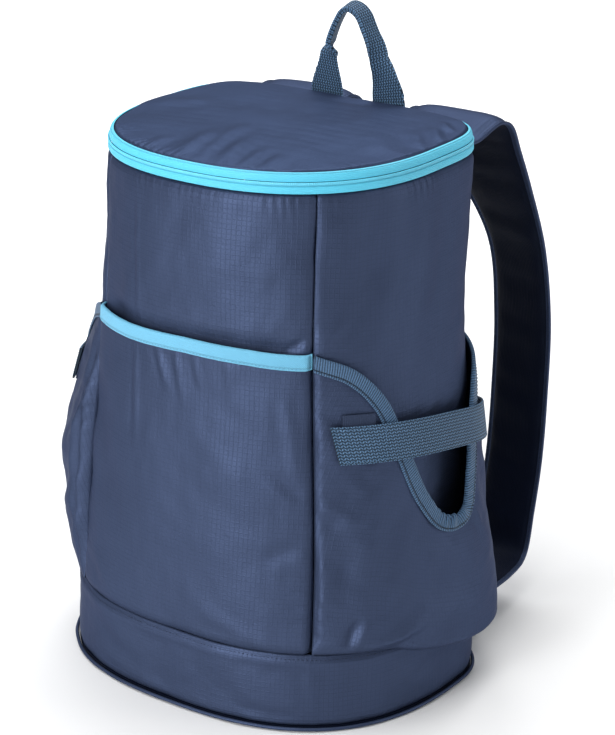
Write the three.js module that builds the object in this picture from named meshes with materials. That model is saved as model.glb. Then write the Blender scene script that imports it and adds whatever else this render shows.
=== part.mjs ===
// Cooler backpack: an insulated, soft-sided backpack that stands by itself on its flat base.
// Millimetres. X runs across the pack, its front faces -Y, +Z is up and the floor is z = 0.
// "Around" is a share of half the girth: 0 at the front centre, 1 at the back centre,
// positive on the +X side. "Outset" is a distance outwards from the body's own surface.

import * as THREE from "three";

// Heights above the floor
const RIM_HEIGHT = 400;
const BASE_SEAM_HEIGHT = 61;
const POCKET_MOUTH_HEIGHT = 284.5;

// Half width and depths of the body where it meets the floor
const BASE_HALF_WIDTH = 157;
const BASE_FRONT_DEPTH = 149;
const BASE_BACK_DEPTH = 72;

// Walls and clearances
const GAP = 0.4;
const LAP_GAP = 0.8;
const SEWN_GAP = 0.9;
const FABRIC_WALL = 1.6;
const TAPE_WALL = 1.2;
const WEBBING_WALL = 2;
const PADDED_WALL = 6;
const BACK_WALL = 10;
const BAND_WALL = 3;
const BOTTOM_THICKNESS = 4;

// Zip and lid
const ZIP_TAPE_HEIGHT = 6.4;
const ZIP_TEETH_HEIGHT = 1.8;
const ZIP_TEETH_OUTSET = 0.8;
const LID_EDGE_THICKNESS = 8;
const LID_EDGE_ROUND = 1;
const LID_RISE = 5;
const LID_DOME_SHARES = [0.5, 0.8, 0.97];
const SLIDER_LENGTH = 34;
const SLIDER_WIDTH = 9;
const SLIDER_THICKNESS = 2.4;
const SLIDER_WAIST = 0.55;
const SLIDER_FROM_SEAM = 0.06;

// Pockets
const FRONT_POCKET_DEPTH = 6;
const SIDE_POCKET_DEPTH = 3;
const BINDING_WIDTH = 9.5;
const RIGHT_POCKET_BULGE = 17;
const RIGHT_POCKET_SKEW = 1.6;
const LEFT_POCKET_BULGE = 25;
const LEFT_POCKET_SKEW = 0.9;
const POCKET_SAG = 20;

// A wall is set back behind its pocket: distances above the base seam and past the pocket's mouth,
// and the share of the wall's width, over which it eases back out
const RECESS_FOOT = 10;
const RECESS_FULL = 42;
const RECESS_TOP = 2;
const RECESS_END = 24;
const RECESS_SEAM_SHARE = 0.16;

// Webbing, grip patch and haul loop
const WEBBING_WIDTH = 28;
const STRAP_CENTRE_SHARE = 0.777;
const STRAP_DROP_SHARE = 0.12;
const PATCH_HEIGHT = 34;
const PATCH_RISE = 4.5;
const LOOP_HALF_SPAN = 30;
const LOOP_RISE = 80;
const LOOP_SEWN_LENGTH = 4;
const LOOP_STEPS = 36;
const FOLD_START = 0.08;
const FOLD_END = 0.6;
const FOLDED_SHARE = 0.5;

// Shoulder straps
const SHOULDER_TOP_WIDTH = 80;
const SHOULDER_WIDTH = 52;
const SHOULDER_CENTRE = 89;
const SHOULDER_TOP_CENTRE = 69;
const SHOULDER_SPREAD_START = 0.72;
const SHOULDER_THICKNESS = 9;
const SHOULDER_EDGE_THICKNESS = 3;
const SHOULDER_PADDED_SHARE = 0.36;
const SHOULDER_REACH = 130;

// Floor piping
const PIPING_RADIUS = 1.6;

// Tabs at the feet of the shoulder straps
const TAB_FOOT = 9;
const TAB_HEIGHT = 16.5;
const TAB_REACH = 21;
const TAB_THICKNESS = 4;
const TAB_AROUND = 0.715;

// Where the four upright seams lie, and how finely the girth is divided
const FRONT_SEAM = 0.25;
const BACK_SEAM = 0.75;
const SEAM_HALF_GAP = 0.0008;
const AROUND_STEPS = 56;
const OUTLINE_STEPS = 240;
const TANGENT_PROBE = 0.002;
const BACK_FLAT_SHARE = 0.78;

// Body sections from the floor up: height as a share of the rim's, sizes as shares of the base's,
// and how square the front and the back corners are (2 is an ellipse)
const bodySections = [
  { up: 0.0, width: 1.0, front: 1.0, back: 1.0, frontSquare: 2.55, backSquare: 2.8 },
  { up: 0.15, width: 0.994, front: 0.98, back: 1.08, frontSquare: 2.5, backSquare: 2.9 },
  { up: 0.375, width: 0.943, front: 0.928, back: 1.16, frontSquare: 2.48, backSquare: 3.1 },
  { up: 0.625, width: 0.876, front: 0.886, back: 1.165, frontSquare: 2.42, backSquare: 3.0 },
  { up: 0.75, width: 0.844, front: 0.868, back: 1.2, frontSquare: 2.38, backSquare: 3.2 },
  { up: 0.875, width: 0.824, front: 0.858, back: 1.24, frontSquare: 2.34, backSquare: 3.8 },
  { up: 1.0, width: 0.814, front: 0.84, back: 1.25, frontSquare: 2.31, backSquare: 4.3 },
  { up: 1.04, width: 0.795, front: 0.835, back: 1.265, frontSquare: 2.3, backSquare: 4.3 },
];

// Side pocket mouth, from the front seam round the deep U to the back seam: along is a share of
// the pocket's width between the seams, height a share of the mouth's height at the seams
const pocketMouth = [
  { along: 0.0, height: 1.0 },
  { along: 0.145, height: 0.955 },
  { along: 0.251, height: 0.875 },
  { along: 0.32, height: 0.757 },
  { along: 0.404, height: 0.597 },
  { along: 0.49, height: 0.517 },
  { along: 0.585, height: 0.512 },
  { along: 0.64, height: 0.606 },
  { along: 0.69, height: 0.73 },
  { along: 0.79, height: 0.85 },
  { along: 1.0, height: 0.91 },
];

// How far each side pocket stands out at its middle, as a share of its bulge, by height share of
// the pocket mouth
const pocketBulges = [
  { up: 0.13, right: 1.0, left: 0.02 },
  { up: 0.2, right: 1.0, left: 0.05 },
  { up: 0.27, right: 0.88, left: 0.3 },
  { up: 0.37, right: 0.66, left: 0.62 },
  { up: 0.56, right: 0.42, left: 1.0 },
  { up: 0.73, right: 0.3, left: 0.64 },
  { up: 0.87, right: 0.2, left: 0.38 },
  { up: 1.0, right: 0.06, left: 0.06 },
];

// How far a side pocket's foot hangs below the base seam, as a share of the sag
const pocketSags = [
  { along: 0.0, sag: 0.0 },
  { along: 0.25, sag: 0.05 },
  { along: 0.34, sag: 0.38 },
  { along: 0.47, sag: 0.68 },
  { along: 0.56, sag: 0.86 },
  { along: 0.68, sag: 1.0 },
  { along: 0.84, sag: 1.0 },
  { along: 0.93, sag: 0.55 },
  { along: 1.0, sag: 0.0 },
];

// Soft dents (depth below zero) and swells of the cloth: place round the girth and as a share of the
// rim's height, spread as shares of the same, depth as a share of the padded wall
const dents = [
  { around: -0.19, up: 0.74, wide: 0.035, tall: 0.14, depth: -0.35 },
  { around: 0.02, up: 0.86, wide: 0.11, tall: 0.06, depth: 0.22 },
  { around: 0.36, up: 0.86, wide: 0.05, tall: 0.07, depth: -0.3 },
  { around: -0.05, up: 0.42, wide: 0.1, tall: 0.13, depth: 0.3 },
  { around: 0.31, up: 0.33, wide: 0.03, tall: 0.1, depth: -0.35 },
  { around: -0.33, up: 0.86, wide: 0.05, tall: 0.08, depth: -0.3 },
];

// Side view of a shoulder strap between its two sewn ends: back is a share of its reach behind the
// base, up a share of the rim's height, and out how far its middle moves outwards as a share of
// its width
const shoulderPath = [
  { back: 0.4, up: 1.013, out: 0.0 },
  { back: 0.52, up: 0.998, out: 0.0 },
  { back: 0.62, up: 0.94, out: 0.0 },
  { back: 0.73, up: 0.86, out: 0.0 },
  { back: 0.89, up: 0.725, out: 0.0 },
  { back: 1.0, up: 0.56, out: 0.0 },
  { back: 1.0, up: 0.4, out: 0.0 },
  { back: 0.93, up: 0.265, out: 0.05 },
  { back: 0.81, up: 0.17, out: 0.12 },
  { back: 0.67, up: 0.09, out: 0.2 },
  { back: 0.45, up: 0.078, out: 0.27 },
];

// Centre line of the haul loop: across is a share of its half span, up a share of its rise
const loopPath = [
  { across: -1.0, up: 0.12 },
  { across: -1.0, up: 0.4 },
  { across: -1.0, up: 0.66 },
  { across: -0.76, up: 0.88 },
  { across: -0.28, up: 1.0 },
  { across: 0.1, up: 0.97 },
  { across: 0.34, up: 0.8 },
  { across: 0.56, up: 0.58 },
  { across: 0.76, up: 0.32 },
  { across: 0.87, up: 0.12 },
];

// Corners of the tab at each strap's foot: up is a share of its height, out a share of its reach
const tabCorners = [
  { up: 0.0, out: 0.0 },
  { up: 1.0, out: 0.0 },
  { up: 0.35, out: 1.0 },
  { up: 0.12, out: 0.8 },
];

const colours = {
  ripstop: 0x3c4864,
  lid: 0x4a597b,
  foot: 0x343f5a,
  zip: 0x35c0ee,
  teeth: 0x1d5f86,
  cyanTape: 0x7fd0f2,
  darkTape: 0x33475f,
  webbing: 0x3f5a78,
  grip: 0x20293a,
  strap: 0x1a2336,
  metal: 0x8a9099,
};

// Reads one column of a table at a share, on a straight line between the rows
function readTable(table, key, column, share) {
  const last = table.length - 1;
  let row = 0;
  while (row < last - 1 && share > table[row + 1][key]) {
    row += 1;
  }
  const from = table[row];
  const to = table[row + 1];
  const part = THREE.MathUtils.clamp((share - from[key]) / (to[key] - from[key]), 0, 1);
  return THREE.MathUtils.lerp(from[column], to[column], part);
}

// Half of the body's plan outline at one height, with its running length
const outlines = new Map();
function halfOutline(height) {
  const key = height.toFixed(3);
  if (!outlines.has(key)) {
    outlines.set(key, makeHalfOutline(height / RIM_HEIGHT));
  }
  return outlines.get(key);
}

function makeHalfOutline(up) {
  const halfWidth = BASE_HALF_WIDTH * readTable(bodySections, "up", "width", up);
  const frontDepth = BASE_FRONT_DEPTH * readTable(bodySections, "up", "front", up);
  const backDepth = BASE_BACK_DEPTH * readTable(bodySections, "up", "back", up);
  const frontSquare = readTable(bodySections, "up", "frontSquare", up);
  const backSquare = readTable(bodySections, "up", "backSquare", up);
  const points = [];
  const lengths = [];
  for (let step = 0; step <= OUTLINE_STEPS; step += 1) {
    const turn = (Math.PI * step) / OUTLINE_STEPS;
    const isFront = step * 2 <= OUTLINE_STEPS;
    const power = 2 / (isFront ? frontSquare : backSquare);
    const x = halfWidth * Math.abs(Math.sin(turn)) ** power;
    const y = (isFront ? -frontDepth : backDepth) * Math.abs(Math.cos(turn)) ** power;
    points.push(new THREE.Vector2(x, y));
    lengths.push(step === 0 ? 0 : lengths[step - 1] + points[step].distanceTo(points[step - 1]));
  }
  return { points, lengths };
}

// Point of the plan outline at a share round the girth, beyond the back centre too
function planPoint(outline, around) {
  const wrapped = around > 1 ? around - 2 : around < -1 ? around + 2 : around;
  const target = Math.abs(wrapped) * outline.lengths[OUTLINE_STEPS];
  let low = 0;
  let high = OUTLINE_STEPS;
  while (high - low > 1) {
    const middle = (low + high) >> 1;
    if (outline.lengths[middle] <= target) {
      low = middle;
    } else {
      high = middle;
    }
  }
  const part = (target - outline.lengths[low]) / (outline.lengths[high] - outline.lengths[low]);
  const point = outline.points[low].clone().lerp(outline.points[high], part);
  point.x *= wrapped < 0 ? -1 : 1;
  return point;
}

// Point on the body's surface, moved outwards level with the floor
function bodyPoint(around, height, outset = 0) {
  const outline = halfOutline(height);
  const point = planPoint(outline, around);
  const ahead = planPoint(outline, around + TANGENT_PROBE);
  const behind = planPoint(outline, around - TANGENT_PROBE);
  const tangent = ahead.sub(behind).normalize();
  return new THREE.Vector3(point.x + tangent.y * outset, point.y - tangent.x * outset, height);
}

// How far back the body's back face lies at one place across it, level past its flat part
function backFace(across, height) {
  const up = height / RIM_HEIGHT;
  const halfWidth = BASE_HALF_WIDTH * readTable(bodySections, "up", "width", up);
  const backDepth = BASE_BACK_DEPTH * readTable(bodySections, "up", "back", up);
  const square = readTable(bodySections, "up", "backSquare", up);
  const share = Math.min(Math.abs(across) / halfWidth, BACK_FLAT_SHARE);
  return backDepth * (1 - share ** square) ** (1 / square);
}

function halfGirth(height) {
  return halfOutline(height).lengths[OUTLINE_STEPS];
}

// Dents and swells of the cloth at one place
function dentOutset(around, height) {
  let outset = 0;
  for (const dent of dents) {
    const sideways = (around - dent.around) / dent.wide;
    const upwards = (height / RIM_HEIGHT - dent.up) / dent.tall;
    outset += dent.depth * PADDED_WALL * Math.exp(-sideways * sideways - upwards * upwards);
  }
  return outset;
}

function evenly(from, to, steps) {
  return Array.from({ length: steps + 1 }, (_, step) => THREE.MathUtils.lerp(from, to, step / steps));
}

// Girth shares between two seams, set in a little from each
function seamColumns(from, to) {
  const steps = Math.round(((to - from) * AROUND_STEPS) / 2);
  const columns = evenly(from, to, steps);
  columns[0] = from + SEAM_HALF_GAP;
  columns[steps] = to - SEAM_HALF_GAP;
  return columns;
}

// Closes a list of points and four-cornered or three-cornered faces into one body facing outwards
function closedBody(points, faces) {
  const triangles = [];
  for (const face of faces) {
    triangles.push([face[0], face[1], face[2]]);
    if (face.length === 4) {
      triangles.push([face[0], face[2], face[3]]);
    }
  }
  let volume = 0;
  for (const [a, b, c] of triangles) {
    volume += points[a].dot(points[b].clone().cross(points[c]));
  }
  const order = volume < 0 ? [0, 2, 1] : [0, 1, 2];
  const geometry = new THREE.BufferGeometry();
  const positions = points.flatMap((point) => [point.x, point.y, point.z]);
  geometry.setAttribute("position", new THREE.Float32BufferAttribute(positions, 3));
  geometry.setIndex(triangles.flatMap((triangle) => order.map((corner) => triangle[corner])));
  geometry.computeVertexNormals();
  return geometry;
}

// A closed sheet between two faces: outer(column, row) and inner(column, row) give their points
function sheet({ columns, rows, outer, inner }) {
  const points = [];
  for (const place of [outer, inner]) {
    for (const column of columns) {
      points.push(...rows.map((row) => place(column, row)));
    }
  }
  const high = rows.length;
  const behind = columns.length * high;
  const lastColumn = columns.length - 1;
  const lastRow = high - 1;
  const faces = [];
  for (let i = 0; i < lastColumn; i += 1) {
    for (let j = 0; j < lastRow; j += 1) {
      const front = i * high + j;
      const back = behind + front;
      faces.push([front, front + high, front + high + 1, front + 1]);
      faces.push([back, back + 1, back + high + 1, back + high]);
    }
    const foot = i * high;
    const head = foot + lastRow;
    faces.push([foot, behind + foot, behind + foot + high, foot + high]);
    faces.push([head, head + high, behind + head + high, behind + head]);
  }
  for (let j = 0; j < lastRow; j += 1) {
    const far = lastColumn * high + j;
    faces.push([j, j + 1, behind + j + 1, behind + j]);
    faces.push([far, behind + far, behind + far + 1, far + 1]);
  }
  return closedBody(points, faces);
}

// A closed sheet that is thickened evenly both ways from its middle surface
function thickSheet({ columns, rows, place, thickness }) {
  const grid = columns.map((column) => rows.map((row) => place(column, row)));
  const face = (direction) => (column, row) => {
    const i = columns.indexOf(column);
    const j = rows.indexOf(row);
    const sideways = grid[Math.min(i + 1, columns.length - 1)][j].clone().sub(grid[Math.max(i - 1, 0)][j]);
    const upwards = grid[i][Math.min(j + 1, rows.length - 1)].clone().sub(grid[i][Math.max(j - 1, 0)]);
    const normal = sideways.cross(upwards).normalize();
    return grid[i][j].clone().addScaledVector(normal, (direction * thickness(column, row)) / 2);
  };
  return sheet({ columns, rows, outer: face(1), inner: face(-1) });
}

// A solid through rings of points: joined end to end, or closed at both ends by the faces given
function loft(rings, capFaces) {
  const points = rings.flat();
  const size = rings[0].length;
  const faces = [];
  const joined = capFaces === undefined;
  const spans = joined ? rings.length : rings.length - 1;
  for (let ring = 0; ring < spans; ring += 1) {
    const next = ((ring + 1) % rings.length) * size;
    for (let corner = 0; corner < size; corner += 1) {
      const after = (corner + 1) % size;
      faces.push([ring * size + after, next + after, next + corner, ring * size + corner]);
    }
  }
  if (!joined) {
    const end = (rings.length - 1) * size;
    for (const [a, b, c] of capFaces) {
      faces.push([a, c, b]);
      faces.push([end + a, end + b, end + c]);
    }
  }
  return closedBody(points, faces);
}

// A ring all round the body: section(around) gives its closed section as outset and height
function ringRoundBody(section) {
  const rings = evenly(-1, 1, AROUND_STEPS).slice(0, AROUND_STEPS).map((around) =>
    section.map(({ outset, height }) => bodyPoint(around, height, outset)),
  );
  return loft(rings);
}

// A disc inside the body's outline: each profile row gives its share of the way out, its outset
// there and its height; the first and last rows are the middle of its top and of its underside
function discInBody(profile, edgeHeight) {
  const arounds = evenly(-1, 1, AROUND_STEPS).slice(0, AROUND_STEPS);
  const middleY = (backFace(0, edgeHeight) + planPoint(halfOutline(edgeHeight), 0).y) / 2;
  const points = [new THREE.Vector3(0, middleY, profile[0].height)];
  const faces = [];
  profile.slice(1, -1).forEach(({ share, outset, height }, ring) => {
    arounds.forEach((around, step) => {
      const edge = bodyPoint(around, Math.min(height, edgeHeight), outset);
      points.push(new THREE.Vector3(edge.x * share, middleY + (edge.y - middleY) * share, height));
      const next = (step + 1) % AROUND_STEPS;
      const here = 1 + ring * AROUND_STEPS;
      if (ring === 0) {
        faces.push([0, here + step, here + next]);
      } else {
        const above = here - AROUND_STEPS;
        faces.push([above + step, here + step, here + next, above + next]);
      }
    });
  });
  const lastRing = 1 + (profile.length - 3) * AROUND_STEPS;
  points.push(new THREE.Vector3(0, middleY, profile[profile.length - 1].height));
  arounds.forEach((_, step) => {
    faces.push([points.length - 1, lastRing + ((step + 1) % AROUND_STEPS), lastRing + step]);
  });
  return closedBody(points, faces);
}

function smooth(from, to, value) {
  return THREE.MathUtils.smoothstep(value, from, to);
}

// How far a wall is set back behind the pocket on it, easing out at its seams, foot and mouth
function pocketRecess(depth, along, height) {
  const foot = smooth(BASE_SEAM_HEIGHT + RECESS_FOOT, BASE_SEAM_HEIGHT + RECESS_FULL, height);
  const mouth = 1 - smooth(POCKET_MOUTH_HEIGHT + RECESS_TOP, POCKET_MOUTH_HEIGHT + RECESS_END, height);
  const fromSeam = Math.min(along, 1 - along);
  return depth * foot * mouth * smooth(0, RECESS_SEAM_SHARE, fromSeam);
}

const WALL_FOOT = BASE_SEAM_HEIGHT + GAP / 2;
const wallHeights = [
  WALL_FOOT,
  BASE_SEAM_HEIGHT + RECESS_FULL / 2,
  ...evenly(BASE_SEAM_HEIGHT + RECESS_FULL, POCKET_MOUTH_HEIGHT, 4),
  POCKET_MOUTH_HEIGHT + RECESS_END / 2,
  ...evenly(POCKET_MOUTH_HEIGHT + RECESS_END, RIM_HEIGHT, 3),
];

// The outer face of the front wall, and of a side wall, moved outwards by some more
function frontWallPoint(around, height, extra) {
  const along = (around + FRONT_SEAM) / (2 * FRONT_SEAM);
  const recess = pocketRecess(FRONT_POCKET_DEPTH + FABRIC_WALL, along, height);
  return bodyPoint(around, height, dentOutset(around, height) - recess + extra);
}

function sideWallPoint(side, around, height, extra) {
  const along = (around - FRONT_SEAM) / (BACK_SEAM - FRONT_SEAM);
  const recess = pocketRecess(SIDE_POCKET_DEPTH, along, height);
  return bodyPoint(side * around, height, dentOutset(side * around, height) - recess + extra);
}

function frontPanel() {
  return sheet({
    columns: seamColumns(-FRONT_SEAM, FRONT_SEAM),
    rows: wallHeights,
    outer: (around, height) => frontWallPoint(around, height, 0),
    inner: (around, height) => frontWallPoint(around, height, -PADDED_WALL),
  });
}

function sidePanel(side) {
  return sheet({
    columns: seamColumns(FRONT_SEAM, BACK_SEAM),
    rows: wallHeights,
    outer: (around, height) => sideWallPoint(side, around, height, 0),
    inner: (around, height) => sideWallPoint(side, around, height, -PADDED_WALL),
  });
}

const BACK_TOP = RIM_HEIGHT + ZIP_TAPE_HEIGHT + ZIP_TEETH_HEIGHT;

function backPanel() {
  return sheet({
    columns: seamColumns(BACK_SEAM, 2 - BACK_SEAM),
    rows: [WALL_FOOT, ...evenly(BASE_SEAM_HEIGHT + RECESS_FULL, RIM_HEIGHT, 7), BACK_TOP - GAP],
    outer: (around, height) => bodyPoint(around, height, 0),
    inner: (around, height) => bodyPoint(around, height, -BACK_WALL),
  });
}

function baseBand() {
  const foot = BOTTOM_THICKNESS + GAP;
  const head = BASE_SEAM_HEIGHT - GAP / 2;
  return ringRoundBody([
    { outset: 0, height: foot },
    { outset: 0, height: head },
    { outset: -BAND_WALL, height: head },
    { outset: -BAND_WALL, height: foot },
  ]);
}

function bottomPanel() {
  const middle = { share: 0, outset: 0 };
  const profile = [
    { ...middle, height: BOTTOM_THICKNESS },
    { share: 1, outset: 0, height: BOTTOM_THICKNESS },
    { share: 1, outset: 0, height: 0 },
    { ...middle, height: 0 },
  ];
  return discInBody(profile, BOTTOM_THICKNESS);
}

function basePiping() {
  const sides = 6;
  const centreOutset = GAP + PIPING_RADIUS;
  const centreHeight = PIPING_RADIUS + GAP;
  const section = evenly(0, 2 * Math.PI, sides).slice(0, sides).map((turn) => ({
    outset: centreOutset + PIPING_RADIUS * Math.cos(turn),
    height: centreHeight + PIPING_RADIUS * Math.sin(turn),
  }));
  return ringRoundBody(section);
}

function lidPanel() {
  const edgeOutset = -FABRIC_WALL - LAP_GAP;
  const edgeFoot = BACK_TOP;
  const edgeHead = edgeFoot + LID_EDGE_THICKNESS;
  const domed = LID_DOME_SHARES.map((share) => ({
    share,
    outset: edgeOutset,
    height: edgeHead + LID_RISE * (1 - share ** 2),
  }));
  const profile = [
    { share: 0, outset: 0, height: edgeHead + LID_RISE },
    ...domed,
    { share: 1, outset: edgeOutset, height: edgeHead - LID_EDGE_ROUND },
    { share: 1, outset: edgeOutset, height: edgeFoot },
    { share: LID_DOME_SHARES[0], outset: edgeOutset, height: edgeFoot + LID_RISE / 2 },
    { share: 0, outset: 0, height: edgeFoot + LID_RISE },
  ];
  return discInBody(profile, edgeHead);
}

// One strip of the zip, from the back seam round the front to the other back seam
function zipStrip(foot, height, outset, wall) {
  return sheet({
    columns: seamColumns(-BACK_SEAM, BACK_SEAM),
    rows: [foot, foot + height],
    outer: (around, at) => bodyPoint(around, at, outset),
    inner: (around, at) => bodyPoint(around, at, outset - wall),
  });
}

function zipSlider() {
  const half = SLIDER_WIDTH / 2;
  const waist = half * SLIDER_WAIST;
  const outline = new THREE.Shape();
  outline.moveTo(-half, 0);
  outline.lineTo(half, 0);
  outline.lineTo(half, -SLIDER_WIDTH);
  outline.lineTo(waist, -SLIDER_WIDTH);
  outline.lineTo(waist, -SLIDER_LENGTH);
  outline.lineTo(-waist, -SLIDER_LENGTH);
  outline.lineTo(-waist, -SLIDER_WIDTH);
  outline.lineTo(-half, -SLIDER_WIDTH);
  outline.closePath();
  return new THREE.ExtrudeGeometry(outline, { depth: SLIDER_THICKNESS, bevelEnabled: false });
}

// The outer face of the front pocket and the place of its mouth
const POCKET_OUTSET = FABRIC_WALL + LAP_GAP;
const POCKET_FOOT = BASE_SEAM_HEIGHT + GAP;
const frontPocketHeights = [POCKET_FOOT, ...wallHeights.slice(1, 6), POCKET_MOUTH_HEIGHT];

function frontPocketPoint(around, height, extra = 0) {
  return bodyPoint(around, height, POCKET_OUTSET + Math.max(dentOutset(around, height), 0) + extra);
}

function frontPocket() {
  return sheet({
    columns: seamColumns(-FRONT_SEAM, FRONT_SEAM),
    rows: frontPocketHeights,
    outer: (around, height) => frontPocketPoint(around, height),
    inner: (around, height) => frontPocketPoint(around, height, -FABRIC_WALL),
  });
}

// Section of an edge tape turned over a pocket's edge: across is the distance past the edge and lift
// the height above the pocket's outer face
const tapeSection = [
  { across: -BINDING_WIDTH, lift: GAP },
  { across: -BINDING_WIDTH, lift: GAP + TAPE_WALL },
  { across: GAP + TAPE_WALL, lift: GAP + TAPE_WALL },
  { across: GAP + TAPE_WALL, lift: -FABRIC_WALL },
  { across: GAP, lift: -FABRIC_WALL },
  { across: GAP, lift: GAP },
];

// The end faces of an edge tape, wound the way its section is listed
function tapeCaps() {
  const outline = tapeSection.map(({ across, lift }) => new THREE.Vector2(across, lift));
  const turn = Math.sign(THREE.ShapeUtils.area(outline));
  return THREE.ShapeUtils.triangulateShape(outline, []).map((face) => {
    const area = THREE.ShapeUtils.area(face.map((corner) => outline[corner]));
    return Math.sign(area) === turn ? face : [...face].reverse();
  });
}

function frontPocketBinding() {
  const rings = seamColumns(-FRONT_SEAM, FRONT_SEAM).map((around) =>
    tapeSection.map(({ across, lift }) => frontPocketPoint(around, POCKET_MOUTH_HEIGHT + across, lift)),
  );
  return loft(rings, tapeCaps());
}

// Side pockets: along is the share of the way from the front seam to the back seam
function pocketAround(along) {
  const from = FRONT_SEAM + SEAM_HALF_GAP;
  const to = BACK_SEAM - SEAM_HALF_GAP;
  return THREE.MathUtils.lerp(from, to, along);
}

function sidePocketOutset(side, along, height) {
  const bulge = side > 0 ? RIGHT_POCKET_BULGE : LEFT_POCKET_BULGE;
  const skew = side > 0 ? RIGHT_POCKET_SKEW : LEFT_POCKET_SKEW;
  const column = side > 0 ? "right" : "left";
  const spread = Math.sqrt(Math.sin(Math.PI * THREE.MathUtils.clamp(along, 0, 1) ** skew));
  const share = readTable(pocketBulges, "up", column, height / POCKET_MOUTH_HEIGHT);
  return POCKET_OUTSET + bulge * spread * share;
}

function sidePocketPoint(side, along, height, extra = 0) {
  const outset = sidePocketOutset(side, along, height) + extra;
  return bodyPoint(side * pocketAround(along), height, outset);
}

// The mouth as a smooth curve in a flat picture of the side: x along the girth, y upwards
const sideWidth = (BACK_SEAM - FRONT_SEAM) * halfGirth(POCKET_MOUTH_HEIGHT);
const mouthCurve = new THREE.CatmullRomCurve3(
  pocketMouth.map(({ along, height }) =>
    new THREE.Vector3(along * sideWidth, height * POCKET_MOUTH_HEIGHT, 0),
  ),
  false,
  "centripetal",
);
const MOUTH_STEPS = 34;
const mouthShares = evenly(0, 1, MOUTH_STEPS);
const mouthPoints = mouthCurve.getSpacedPoints(MOUTH_STEPS);
const mouthTangents = mouthShares.map((share) => mouthCurve.getTangentAt(share));

// Place in the flat picture of the side, a distance past the mouth's edge, as along and height
function besideMouth(step, across) {
  const mouth = mouthPoints[step];
  const tangent = mouthTangents[step];
  const along = THREE.MathUtils.clamp((mouth.x - tangent.y * across) / sideWidth, 0, 1);
  return { along, height: mouth.y + tangent.x * across };
}

function pocketFoot(along) {
  return POCKET_FOOT - POCKET_SAG * readTable(pocketSags, "along", "sag", along);
}

// Rows of a side pocket from its foot to the lower edge of its tape, then the mouth itself
const MOUTH_ROW = 2;
const pocketRows = [0, 0.03, 0.08, 0.26, 0.5, 0.75, 1, MOUTH_ROW];

function sidePocket(side) {
  const place = (step, row, extra) => {
    const share = step / MOUTH_STEPS;
    if (row === MOUTH_ROW) {
      const mouth = besideMouth(step, 0);
      return sidePocketPoint(side, mouth.along, mouth.height, extra);
    }
    const hem = besideMouth(step, -BINDING_WIDTH);
    const along = THREE.MathUtils.lerp(share, hem.along, row);
    const height = THREE.MathUtils.lerp(pocketFoot(share), hem.height, row);
    const tuck = row === 0 ? POCKET_OUTSET - sidePocketOutset(side, along, height) : 0;
    return sidePocketPoint(side, along, height, tuck + extra);
  };
  return sheet({
    columns: mouthShares.map((_, step) => step),
    rows: pocketRows,
    outer: (step, row) => place(step, row, 0),
    inner: (step, row) => place(step, row, -FABRIC_WALL),
  });
}

function sidePocketBinding(side) {
  const rings = mouthPoints.map((_, step) =>
    tapeSection.map(({ across, lift }) => {
      const { along, height } = besideMouth(step, across);
      return sidePocketPoint(side, along, height, lift);
    }),
  );
  return loft(rings, tapeCaps());
}

// Layers over a side pocket: the tape or the grip patch, then the webbing
const LAYER_OUTSET = GAP + TAPE_WALL + LAP_GAP;
const STRAP_START = 0.055;
const STRAP_END = 0.98;
const STRAP_STEPS = 20;
const PATCH_START = 0.095;
const PATCH_END = 0.212;
const PATCH_STEPS = 4;

function strapCentre(along) {
  return POCKET_MOUTH_HEIGHT * (STRAP_CENTRE_SHARE - STRAP_DROP_SHARE * along ** 2);
}

// A band of webbing or tape laid over a side pocket, its inner face clear of the pocket's
function bandOverPocket({ side, columns, width, outset, wall, rise = 0 }) {
  const place = (along, across, extra) =>
    sidePocketPoint(side, along, strapCentre(along) + rise + across * width, outset + extra);
  return sheet({
    columns,
    rows: [-0.5, 0, 0.5],
    outer: (along, across) => place(along, across, wall),
    inner: (along, across) => place(along, across, 0),
  });
}

function sideStrap(side) {
  return bandOverPocket({
    side,
    columns: evenly(STRAP_START, STRAP_END, STRAP_STEPS),
    width: WEBBING_WIDTH,
    outset: LAYER_OUTSET,
    wall: WEBBING_WALL,
  });
}

function gripPatch(side) {
  return bandOverPocket({
    side,
    columns: evenly(PATCH_START, PATCH_END, PATCH_STEPS),
    width: PATCH_HEIGHT,
    outset: GAP,
    wall: TAPE_WALL,
    rise: PATCH_RISE,
  });
}

// Haul loop: flat webbing legs whose sides fold together towards the top
function haulLoop() {
  const foot = BACK_TOP - LOOP_SEWN_LENGTH;
  const middleY = backFace(0, BACK_TOP) + GAP + WEBBING_WALL / 2;
  const knots = loopPath.map(({ across, up }) =>
    new THREE.Vector3(across * LOOP_HALF_SPAN, middleY, RIM_HEIGHT + up * LOOP_RISE),
  );
  const first = new THREE.Vector3(knots[0].x, middleY, foot);
  const last = new THREE.Vector3(knots[knots.length - 1].x, middleY, foot);
  const path = new THREE.CatmullRomCurve3([first, ...knots, last], false, "centripetal");
  const folded = (share) => {
    const up = (path.getPointAt(share).z - RIM_HEIGHT) / LOOP_RISE;
    return smooth(FOLD_START, FOLD_END, up);
  };
  return thickSheet({
    columns: evenly(0, 1, LOOP_STEPS),
    rows: [-0.5, 0.5],
    place: (share, across) => {
      const tangent = path.getTangentAt(share);
      const offset = across * WEBBING_WIDTH * (1 - FOLDED_SHARE * folded(share));
      const sideways = new THREE.Vector3(-tangent.z * offset, 0, tangent.x * offset);
      return path.getPointAt(share).add(sideways);
    },
    thickness: (share) => WEBBING_WALL * (1 + folded(share)),
  });
}

// Shoulder strap: a padded strip from the top of the back to its bottom corner
const SHOULDER_ROWS = 20;
const SEWN_SHARE = 0.012;
const shoulderColumns = [-0.5, -0.42, -0.21, 0, 0.21, 0.42, 0.5];
const SHOULDER_TOP_HEIGHT = BACK_TOP - LOOP_SEWN_LENGTH - LAP_GAP - SHOULDER_THICKNESS / 2;

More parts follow.
